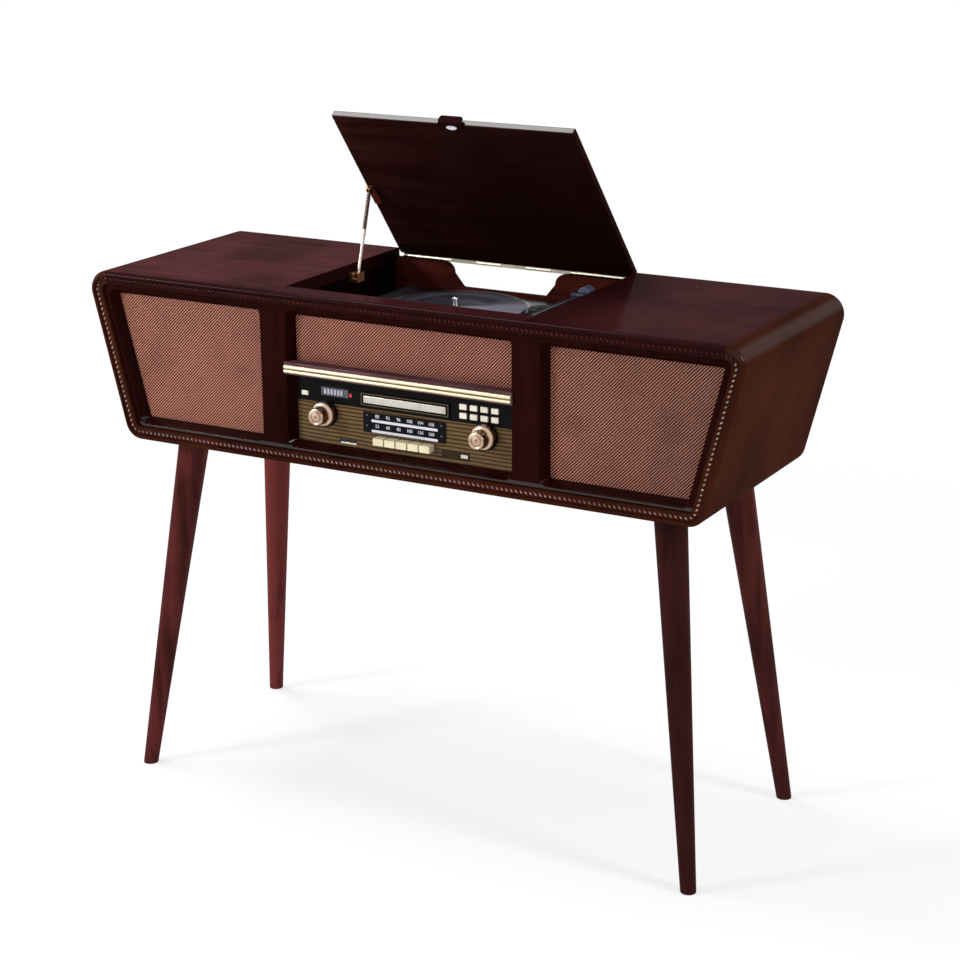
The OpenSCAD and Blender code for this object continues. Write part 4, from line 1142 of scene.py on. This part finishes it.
@dataclass
class Cabinet:
    """Outer boards, rope moulding, speaker board, back and legs."""

    finishes: Finishes
    top_w: float = 1000.0
    bottom_w: float = 878.0
    top_r: float = 27.0
    bottom_r: float = 26.0
    wall: float = 18.0
    rim_r: float = 6.0
    band_w: float = 6.4
    rear_r: float = 3.0
    seat: float = 2.5
    rope_u: float = 11.7
    rope_w: float = 5.5
    rope_r: float = 5.2
    lobe_pitch: float = 7.0
    lobe_slant: float = 42.0
    lobe_size: tuple[float, float, float] = (6.1, 4.5, 3.05)
    opening_half: float = 190.5
    opening_front: float = -130.0
    baffle_y: float = -160.0
    low: float = 21.5
    high: float = 211.5

    def __post_init__(self) -> None:
        """Works out the slant of the sides and the corners' centres."""
        self.slope = math.atan((self.top_w - self.bottom_w) / 2 / CAB_H)
        self.top_at = (self.half(CAB_H - self.top_r, self.top_r), CAB_H - self.top_r)
        self.bottom_at = (self.half(self.bottom_r, self.bottom_r), self.bottom_r)

    def half(self, rise: float, inset: float) -> float:
        """Gives the half width at a height, a distance inside the outer face."""
        grow = (self.top_w - self.bottom_w) / 2 * rise / CAB_H
        return self.bottom_w / 2 + grow - inset / math.cos(self.slope)

    def section(self) -> list[Point2]:
        """Gives the boards' section: distance in from the outer face, and depth."""
        depth = REAR_Y - FRONT_Y
        core = self.rope_r - 1.5
        dip = math.degrees(math.asin((self.rope_w - self.seat) / core))
        rim = arc((self.rim_r, self.rim_r), self.rim_r, 180, 270, 9)
        moulding = arc((self.rope_u, self.rope_w), core, 180 + dip, 360 - dip, 8)
        rear = arc((self.rear_r, depth - self.rear_r), self.rear_r, 90, 180, 6)
        return ([(0.0, self.rim_r + 1.0)] + rim
                + [(self.band_w, 0.15), (self.band_w + 0.3, 0.6), (self.band_w + 0.3, self.seat)]
                + moulding + [(self.wall, self.seat), (self.wall, depth)] + rear)

    def sweep(self, stations: Sequence[tuple[Point2, float, float]],
              side: int = 1) -> bmesh.types.BMesh:
        """Carries the section along stations.

        Args:
            stations: Centre, radius of the outer face and angle in degrees of each.
            side: 1 for the right of the cabinet and -1 for the left.

        Returns:
            The closed board.
        """
        made = bmesh.new()
        rings = []
        for (cx, cz), radius, angle in stations:
            c, s = math.cos(math.radians(angle)), math.sin(math.radians(angle))
            rings.append([made.verts.new(place(side * (cx + (radius - u) * c), FRONT_Y + w,
                                               cz + (radius - u) * s))
                          for u, w in self.section()])
        count = len(rings[0])
        for one, two in zip(rings, rings[1:]):
            for k in range(count):
                j = (k + 1) % count
                made.faces.new((one[k], one[j], two[j], two[k]))
        made.faces.new(rings[0])
        made.faces.new(rings[-1])
        bmesh.ops.recalc_face_normals(made, faces=made.faces)
        return made

    def boards(self) -> None:
        """Builds the four outer boards."""
        low, high = math.degrees(self.slope), 90.0
        bends = ([(self.bottom_at, self.bottom_r, -90 + (90 - low) * i / 16) for i in range(17)]
                 + [(self.top_at, self.top_r, -low + (high + low) * i / 22) for i in range(23)])
        for name, side in (("left", -1), ("right", 1)):
            Piece(f"{name}_side_board", "cabinet", self.finishes["side_lacquer"],
                  "cabinet_wood", (f"{name}_side_panel",), 0).make(self.sweep(bends, side))
        reach = self.bottom_at[0]
        under = [((x, self.bottom_at[1]), self.bottom_r, -90) for x in (-reach, 0, reach)]
        Piece("bottom_board", "cabinet", self.finishes["side_lacquer"], "cabinet_wood",
              ("bottom_panel",), 0).make(self.sweep(under))
        reach = self.top_at[0]
        over = [((x, self.top_at[1]), self.top_r, 90) for x in (-reach, 0, reach)]
        board = cut(self.sweep(over),
                    place(-self.opening_half, self.opening_front, CAB_H - 2 * self.wall),
                    place(self.opening_half, REAR_Y + 20, CAB_H + 20))
        edge_x, edge_y = self.opening_half * MM, self.opening_front * MM

        def on_mouth(edge: bmesh.types.BMEdge) -> bool:
            """Tells whether an edge bounds the opening's mouth."""
            spots = [v.co for v in edge.verts]
            high_up = all(abs(c.z - (LEG_H + CAB_H) * MM) < 1e-5 for c in spots)
            beside = all(abs(abs(c.x) - edge_x) < 1e-5 for c in spots)
            before = all(abs(c.y - edge_y) < 1e-5 for c in spots)
            return high_up and (beside or before)

        Piece("top_board", "cabinet", self.finishes["top_lacquer"], "cabinet_wood",
              ("top_panel",), 1.4, 3, bevel_where=on_mouth).make(board)

    def loop(self, inset: float) -> list[Point2]:
        """Gives the outline inside the outer face, in X and height."""
        low = math.degrees(self.slope)
        right = (arc(self.bottom_at, self.bottom_r - inset, -90, -low, 12)
                 + arc(self.top_at, self.top_r - inset, -low, 90, 16))
        return right + [(-x, z) for x, z in reversed(right)]

    def rope(self) -> None:
        """Lays the rope moulding's lobes in their seat, all round the front."""
        path = self.loop(self.rope_u)
        length = sum(math.dist(a, b) for a, b in zip(path, path[1:] + path[:1]))
        y = FRONT_Y + self.rope_w
        tree = Repeat("rope_tree", {
            "Lobes": round(length / self.lobe_pitch), "Slant": math.radians(self.lobe_slant),
            "Lobe size": tuple(size * MM for size in self.lobe_size),
            "Material": self.finishes["rope_lacquer"]})
        ball = tree.add("GeometryNodeMeshUVSphere", {"Segments": 12, "Rings": 8, "Radius": 1.0})
        lobe = tree.add("GeometryNodeTransform",
                        {"Geometry": ball, "Scale": tree.given("Lobe size")})
        tip = tree.add("ShaderNodeCombineXYZ", {"Y": tree.given("Slant")})
        slanted = tree.add("GeometryNodeTransform", {"Geometry": lobe, "Rotation": tip})
        curve = tree.add("GeometryNodeMeshToCurve", {"Mesh": tree.given("Geometry")})
        spaced = tree.add("GeometryNodeResampleCurve",
                          {"Curve": curve, "Count": tree.given("Lobes")})
        aimed = tree.add("FunctionNodeAlignRotationToVector",
                         {"Vector": tree.add("GeometryNodeInputTangent")},
                         axis="X", pivot_axis="Y")
        tree.close(tree.add("GeometryNodeInstanceOnPoints",
                            {"Points": spaced, "Instance": slanted, "Rotation": aimed}))
        mesh = points_mesh([place(x, y, rise) for x, rise in path], closed=True)
        tree.run("rope_moulding", "cabinet", "cabinet_wood", mesh)

    def panels(self) -> None:
        """Dresses the speaker board, the back panel, the legs and their plates."""
        def on_front(edge: bmesh.types.BMEdge) -> bool:
            """Tells whether an edge bounds a window on the speaker board's front."""
            spots = [v.co for v in edge.verts]
            front = all(abs(c.y - self.baffle_y * MM) < 2e-5 for c in spots)
            bent = len(edge.link_faces) == 2 and edge.calc_face_angle(0.0) > 0.4
            inside = all(self.low < c.z / MM - LEG_H < self.high for c in spots)
            return front and bent and inside

        dress("front_baffle", self.finishes["baffle_lacquer"], 1.6, 35, 3, on_front)
        legs = ("front_left", "front_right", "rear_left", "rear_right")
        dress_all(self.finishes, [("back_panel", "back_lacquer", 0.8, 2)]
                  + [(f"leg_{leg}", "leg_lacquer", 0.8, 2) for leg in legs]
                  + [("leg_plates", "plain_steel", 0.4, 2)])

    def build(self) -> None:
        """Builds the whole cabinet."""
        self.boards()
        self.rope()
        self.panels()


@dataclass
class Grilles:
    """Grille cloths, the shelf bar and its brass moulding."""

    finishes: Finishes
    cabinet: Cabinet
    lap: float = 6.0
    cloth_t: float = 5.0
    thin: float = 0.5
    low: float = 22.0
    high: float = 211.0
    inner_x: float = 212.0
    margin: float = 24.7
    window_r: float = 11.0
    splay: float = 8.0

    def speaker_outline(self, side: int) -> list[Point2]:
        """Gives the outline of a speaker's cloth on one side."""
        r = self.window_r
        centres = [(self.inner_x + r, self.low + r),
                   (self.cabinet.half(self.low + r, self.margin + r), self.low + r),
                   (self.cabinet.half(self.high - r, self.margin + r), self.high - r),
                   (self.inner_x + r, self.high - r)]
        outline = round_corners(centres, r - self.splay + self.lap)
        return outline if side > 0 else [(-x, z) for x, z in reversed(outline)]

    def cloth(self, name: str, outline: Sequence[Point2]) -> None:
        behind = CLOTH_Y + self.thin
        sheet = Piece(f"{name}_cloth", "cabinet", self.finishes["grille_weave"], "grille_fabric",
                      (f"{name}_grille_cloth",), 0).make(slab(outline, CLOTH_Y, behind))
        Piece(f"{name}_cloth_board", "cabinet", self.finishes["slot_dark"], "grille_fabric", (),
              0.3).make(slab(outline, behind, CLOTH_Y + self.cloth_t))
        turns = zip(outline, list(outline[1:]) + [outline[0]])
        area = abs(sum(a[0] * b[1] - b[0] * a[1] for a, b in turns)) / 2 * MM * MM

    def build(self) -> None:
        """Builds the three cloths, the shelf bar and the moulding."""
        self.cloth("right", self.speaker_outline(1))
        self.cloth("left", self.speaker_outline(-1))
        low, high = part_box("centre_grille_cloth")
        middle = [(low.x / MM, low.z / MM - LEG_H), (high.x / MM, low.z / MM - LEG_H),
                  (high.x / MM, high.z / MM - LEG_H), (low.x / MM, high.z / MM - LEG_H)]
        self.cloth("centre", middle)
        dress_all(self.finishes, (("shelf_bar", "shelf_lacquer", 0.8, 2),
                                  ("gold_trim", "trim_brass", 0.2, 2)))


@dataclass
class Radio:
    """Radio plate with its dial, knobs, buttons, keys, disc tray and sockets."""

    finishes: Finishes
    bezel_mid: Point2 = (4.0, 99.75)
    screen: Point2 = (-105.5, 102.5)
    slot: Point2 = (-85.5, 37.5)
    socket: Point2 = (76.0, 40.5)

    def thin(self, name: str, box: tuple[float, float, float, float, float],
             depths: tuple[float, float], finish: str, slot: str = "dial_glass") -> None:
        """Makes a thin rounded piece that lies against the plate.

        Args:
            name: Name of the piece.
            box: Its middle in X and height, its width, height and corner radius.
            depths: Where its front and back lie, from the plate's face.
            finish: Name of its finish.
            slot: Its material slot in the record.
        """
        Piece(name, "cabinet", self.finishes[finish], slot, (), 0.15).make(
            slab(rounded_box(*box), CLOTH_Y + depths[0], CLOTH_Y + depths[1]))

    def knob(self, name: str, side: int) -> None:
        """Builds a stepped knob with a dished cap."""
        x = RADIO_X + side * KNOB_DX
        low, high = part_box(f"{name}_knob")
        base = high.y / MM
        reach = base - low.y / MM
        profile = [(0, 0.0), (15.8, 0.0), (17.2, 0.8), (17.3, 2.0), (17.3, 8.0), (16.9, 9.2),
                   (15.6, 10.6), (13.6, 11.6), (12.4, 12.2), (12.0, 13.2), (12.0, reach - 2.4),
                   (11.7, reach - 1.2), (10.9, reach - 0.35), (10.0, reach), (9.2, reach - 0.25),
                   (8.6, reach - 1.0), (7.0, reach - 1.3), (0, reach - 0.9)]
        Piece(f"{name}_knob_turned", f"{name}_knob", self.finishes["knob_brass"], "knob_brass",
              (f"{name}_knob",), 0, crease=60).make(
                  lathe(profile, place(x, base, KNOB_RISE), Vector((0, -1, 0)), 72))

    def figures(self) -> None:
        """Prints plain figures and bars on the dial."""
        x = RADIO_X
        front = CLOTH_Y - 2.0
        rows = [(78.0, ("88", "92", "96", "100", "104", "108")),
                (64.6, ("53", "60", "80", "100", "130", "160"))]
        for row, (rise, words) in enumerate(rows):
            for i, word in enumerate(words):
                text = bpy.data.curves.new("figure", "FONT")
                text.body, text.size, text.extrude = word, 6.2 * MM, 0.05 * MM
                text.align_x = text.align_y = "CENTER"
                holder = bpy.data.objects.new("figure", text)
                bpy.context.scene.collection.objects.link(holder)
                graph = bpy.context.evaluated_depsgraph_get()
                mesh = bpy.data.meshes.new_from_object(holder.evaluated_get(graph))
                bpy.data.objects.remove(holder)
                mesh.transform(Matrix.Translation(place(x - 41 + i * 16.6, front - 0.08, rise))
                               @ Matrix.Rotation(QUARTER, 4, "X"))
                shape = bmesh.new()
                shape.from_mesh(mesh)
                Piece(f"dial_figure_{row + 1}_{i + 1}", "cabinet", self.finishes["dial_print"],
                      "dial_glass", (), 0).make(shape)
        for i, rise in enumerate((71.7, 57.6)):
            self.thin(f"dial_bar_{i + 1}", (x + 1, rise, 102, 3.6, 1.7), (-2.35, -1.8), "dial_bar")
        corners = [place(x + dx, front, rise) for dx in (-56.5, 57.5) for rise in (78.6, 64.4)]
        screws("dial_screws", "cabinet", "dial_glass", self.finishes["dial_bar"], corners, 1.5,
               (QUARTER, 0.0, 0.0))

    def screen_parts(self) -> None:
        """Fills the display's recess with dark glass, figures and a red lamp."""
        x, rise = self.screen
        self.thin("screen_pane", (x, rise, 42.6, 11.6, 0.8), (0.15, 0.75), "screen_glass")
        for i in range(6):
            self.thin(f"screen_figure_{i + 1}", (x - 15 + i * 5.2, rise, 3.3, 7.4, 0.5),
                      (0.02, 0.2), "screen_figures")
        self.thin("screen_lamp", (x + 25.6, rise - 1.0, 4.8, 5.4, 2.1), (-0.9, 0.4), "red_lamp")

    def frames(self) -> None:
        """Adds the bezel's thin bright line, the card slot's lip and the small switch."""
        x, rise = self.bezel_mid
        outer = rounded_box(x, rise, 133.6, 16.2, 1.2)
        inner = rounded_box(x, rise, 132.4, 15.0, 0.9)
        ring = bmesh.new()
        levels = (CLOTH_Y - 2.12, CLOTH_Y - 1.9)
        loops = [[ring.verts.new(place(px, y, pz)) for px, pz in line]
                 for line in (outer, inner) for y in levels]
        count = len(outer)
        for one, two in ((0, 2), (2, 3), (3, 1), (1, 0)):
            for i in range(count):
                j = (i + 1) % count
                ring.faces.new((loops[one][i], loops[one][j], loops[two][j], loops[two][i]))
        bmesh.ops.recalc_face_normals(ring, faces=ring.faces)
        Piece("bezel_line", "cabinet", self.finishes["bezel_olive"], "gold_trim", (), 0).make(ring)
        x, rise = self.slot
        self.thin("card_slot_lip", (x + 1, rise - 2.6, 25, 2.2, 0.9), (-0.7, 0.3), "tray_silver",
                  "tray_metal")
        self.thin("card_slot_back", (x, rise, 27.5, 5.2, 0.8), (-0.12, 0.2), "slot_dark")
        x, rise = self.socket
        self.thin("socket_panel", (x + 4, rise, 42, 11.4, 0.6), (0.3, 0.75), "socket_brown")
        self.thin("socket_switch", (x + 17.5, rise, 10.5, 4.8, 0.8), (-0.5, 0.5), "tray_silver",
                  "tray_metal")

    def build(self) -> None:
        """Builds the radio."""
        dress_all(self.finishes, (
            ("radio_fascia", "radio_plate", 0.25, 2), ("dial_plate", "dial_black", 0.4, 2),
            ("cd_tray", "tray_silver", 0.6, 2), ("cd_mechanism", "plain_steel", 0.3, 2)))
        self.knob("volume", -1)
        self.knob("tuning", 1)
        # A black disc behind each knob stands for the dark shadow ring round it.
        for side, name in ((-1, "volume"), (1, "tuning")):
            profile = [(0, 0.05), (19.2, 0.05), (19.2, 0.95), (18.9, 1.25), (0, 1.25)]
            centre = place(RADIO_X + side * KNOB_DX, CLOTH_Y, KNOB_RISE)
            Piece(f"{name}_knob_shadow_disc", "cabinet", self.finishes["dial_black"], "dial_glass", (),
                  0).make(lathe(profile, centre, Vector((0, -1, 0))))
        buttons = [f"preset_button_{i}" for i in range(1, 9)] + ["power_button"]
        dress_all(self.finishes, [(name, "button_cream", 0.7, 3) for name in buttons]
                  + [(f"key_{i}", "key_ivory", 1.1, 3) for i in range(1, 6)])
        self.figures()
        self.screen_parts()
        self.frames()


@dataclass
class Turntable:
    """Well, deck, platter, mat, drive and tonearm."""

    finishes: Finishes
    mat_top: float = 197.5
    rib_count: int = 15
    first_rib_r: float = 53.0
    rib_step: float = 2.9
    rib_r: float = 0.55

    def ribs(self) -> None:
        """Sets fine ribs round the mat."""
        tree = Repeat("rib_tree", {
            "Ribs": self.rib_count, "First": self.first_rib_r * MM, "Step": self.rib_step * MM,
            "Rib": self.rib_r * MM, "Material": self.finishes["mat_grey"]})
        line = tree.add("GeometryNodeMeshLine",
                        {"Count": tree.given("Ribs"), "Offset": (0.0, 0.0, 0.0)})
        radius = tree.add("ShaderNodeMath",
                          {0: tree.add("GeometryNodeInputIndex"), 1: tree.given("Step"),
                           2: tree.given("First")}, operation="MULTIPLY_ADD")
        size = tree.add("ShaderNodeCombineXYZ", {"X": radius, "Y": radius, "Z": 1.0})
        ring = tree.add("GeometryNodeCurvePrimitiveCircle", {"Resolution": 96, "Radius": 1.0})
        copies = tree.add("GeometryNodeInstanceOnPoints",
                          {"Points": line, "Instance": ring, "Scale": size})
        real = tree.add("GeometryNodeRealizeInstances", {"Geometry": copies})
        bead = tree.add("GeometryNodeCurvePrimitiveCircle",
                        {"Resolution": 6, "Radius": tree.given("Rib")})
        solid = tree.add("GeometryNodeCurveToMesh", {"Curve": real, "Profile Curve": bead})
        tree.close(tree.add("GeometryNodeTransform", {
            "Geometry": solid, "Translation": place(*SPINDLE, self.mat_top - 0.12)}))
        tree.run("mat_ribs", "platter", "mat_rubber", points_mesh([Vector()]))

    def build(self) -> None:
        """Builds the turntable."""
        dress_all(self.finishes, (
            ("turntable_well", "well_lacquer", 0.5, 2), ("deck_plate", "deck_black", 0.9, 3),
            ("platter", "platter_metal", 0.3, 2), ("slip_mat", "mat_grey", 0.2, 2)))
        self.ribs()
        dress_all(self.finishes, (
            ("spindle", "spindle_chrome", 0.1, 2), ("drive_motor", "motor_paint", 0.5, 2),
            ("motor_pulley", "pulley_brass", 0.15, 2), ("drive_belt", "belt_rubber", 0.15, 2),
            ("tonearm_turret", "arm_black", 0.8, 3), ("tonearm_yoke", "arm_metal", 0.35, 2),
            ("tonearm", "arm_metal", 0.5, 2), ("counterweight", "weight_paint", 0.8, 3),
            ("speed_lever", "arm_black", 0.5, 2)))


@dataclass
class Lid:
    """Lid with its hinge, pull and stay."""

    finishes: Finishes

    def turned(self, x: float, y: float, rise: float) -> Vector:
        """Gives where a point of the closed lid lies with the lid open."""
        sine, cosine = math.sin(LID_OPEN), math.cos(LID_OPEN)
        dy, dz = y - HINGE_Y, rise - HINGE_RISE
        return place(x, HINGE_Y + dy * cosine + dz * sine, HINGE_RISE - dy * sine + dz * cosine)

    def eyelet(self) -> None:
        """Sets a white oval in the pull, as a painted highlight."""
        shape = lathe([(0, 0), (8.0, 0), (8.2, 0.5), (7.6, 1.1), (6.4, 1.2), (5.8, 0.7), (0, 0.6)],
                      Vector(), Vector((0, 0, 1)), 48)
        bmesh.ops.scale(shape, vec=(1.0, 0.42, 1.0), verts=shape.verts)
        turn = Matrix.Rotation(2 * QUARTER - LID_OPEN, 4, "X")
        spot = self.turned(4.0, -118.5, CAB_H - 12.0)
        bmesh.ops.transform(shape, matrix=Matrix.Translation(spot) @ turn, verts=shape.verts)
        Piece("pull_eyelet", "lid", self.finishes["eyelet_highlight_white"], "pull_plastic", (), 0,
              crease=50).make(shape)

    def build(self) -> None:
        """Builds the lid."""
        dress_all(self.finishes, (
            ("lid", "lid_lacquer", 1.5, 3), ("hinge_lid_leaf", "hinge_brass", 0.15, 2),
            ("hinge_cabinet_leaf", "hinge_brass", 0.15, 2), ("lid_pull", "pull_dark", 0.8, 3),
            ("stay_lid_bracket", "stay_brass", 0.3, 2), ("stay_rod", "rod_chrome", 0.3, 2),
            ("stay_cradle", "stay_brass", 0.6, 2)))
        self.eyelet()


@dataclass
class Studio:
    """Floor, soft light and the camera at the photograph's place."""

    lens: float = 86.0
    eye: tuple[float, float, float] = (1517.3, -2629.0, 1385.15)
    yaw: float = -29.42
    pitch: float = -17.11
    roll: float = -0.42
    fill: float = 0.5
    near_white: float = 0.68

    def floor(self) -> None:
        """Lays a pale floor that keeps the shadow and turns white further out."""
        mesh = bpy.data.meshes.new("floor")
        mesh.from_pydata([(-30, -30, 0), (30, -30, 0), (30, 30, 0), (-30, 30, 0)], [],
                         [(0, 1, 2, 3)])
        floor = bpy.data.objects.new("floor", mesh)
        bpy.context.scene.collection.objects.link(floor)
        shade = Shade("floor_white")
        shade.finish(Base_Color=(0.93, 0.93, 0.93, 1.0), Roughness=0.9, Specular_IOR_Level=0.0)
        x, y, _ = shade.axes()
        far = self.near_white + (x * x + y * y).root().ease(0.7, 1.9) * (1.0 - self.near_white)
        white = shade.add("ShaderNodeEmission", {"Color": (1, 1, 1, 1), "Strength": 1.0})
        mix = shade.add("ShaderNodeMixShader", {0: far * Level(shade, shade.direct()),
                                                1: shade.shader, 2: white})
        shade.feed(shade.tree.nodes["Material Output"].inputs["Surface"], mix)
        mesh.materials.append(shade.material)

    def world(self) -> None:
        """Fills the room with soft light, white to the camera and to mirrors."""
        world = bpy.data.worlds.new("studio")
        world.use_nodes = True
        bpy.context.scene.world = world
        nodes = Nodes(world.node_tree)
        nodes.tree.nodes.clear()
        lights, white = (nodes.add("ShaderNodeBackground", {"Color": (1, 1, 1, 1), "Strength": s})
                         for s in (self.fill, 1.0))
        mixed = nodes.add("ShaderNodeMixShader", {0: nodes.direct(), 1: lights, 2: white})
        nodes.add("ShaderNodeOutputWorld", {"Surface": mixed})

    def lamp(self, name: str, spot: Vector, aim: Vector, size: tuple[float, float],
             watts: float) -> None:
        """Hangs one rectangular lamp."""
        data = bpy.data.lights.new(name, "AREA")
        data.shape, data.size, data.size_y, data.energy = "RECTANGLE", size[0], size[1], watts
        lamp = bpy.data.objects.new(name, data)
        bpy.context.scene.collection.objects.link(lamp)
        lamp.location = spot
        lamp.rotation_euler = (aim - spot).to_track_quat("-Z", "Y").to_euler()

    def camera(self) -> None:
        """Sets the camera."""
        turns = ((-self.yaw, "Z"), (90 + self.pitch, "X"), (self.roll, "Z"))
        yaw, pitch, roll = (Matrix.Rotation(math.radians(a), 4, axis) for a, axis in turns)
        data = bpy.data.cameras.new("camera")
        data.lens, data.sensor_width, data.sensor_fit = self.lens, 36.0, "HORIZONTAL"
        data.clip_end = 100.0
        camera = bpy.data.objects.new("camera", data)
        bpy.context.scene.collection.objects.link(camera)
        camera.matrix_world = Matrix.Translation(Vector(self.eye) * MM) @ yaw @ pitch @ roll
        bpy.context.scene.camera = camera

    def build(self) -> None:
        """Builds the studio."""
        self.floor()
        self.world()
        middle = Vector((0, 0, 0.7))
        self.lamp("key_left", Vector((-2.2, -2.4, 1.9)), middle, (0.6, 0.6), 58)
        self.lamp("top_box", Vector((-1.143, 0.048, 2.945)), middle, (1.0, 0.8), 46)
        self.lamp("right_box", Vector((2.6, -0.2, 1.9)), middle, (0.5, 0.9), 36)
        self.camera()
        bpy.context.scene.view_settings.view_transform = "Standard"


def main() -> None:
    """Builds the object and the studio."""
    logging.basicConfig(level=logging.INFO, format="%(message)s")
    finishes = Finishes()
    cabinet = Cabinet(finishes)
    cabinet.build()
    Grilles(finishes, cabinet).build()
    Radio(finishes).build()
    Turntable(finishes).build()
    Lid(finishes).build()
    dress_all(finishes, INSIDE)
    Studio().build()


if __name__ == "__main__":
    main()
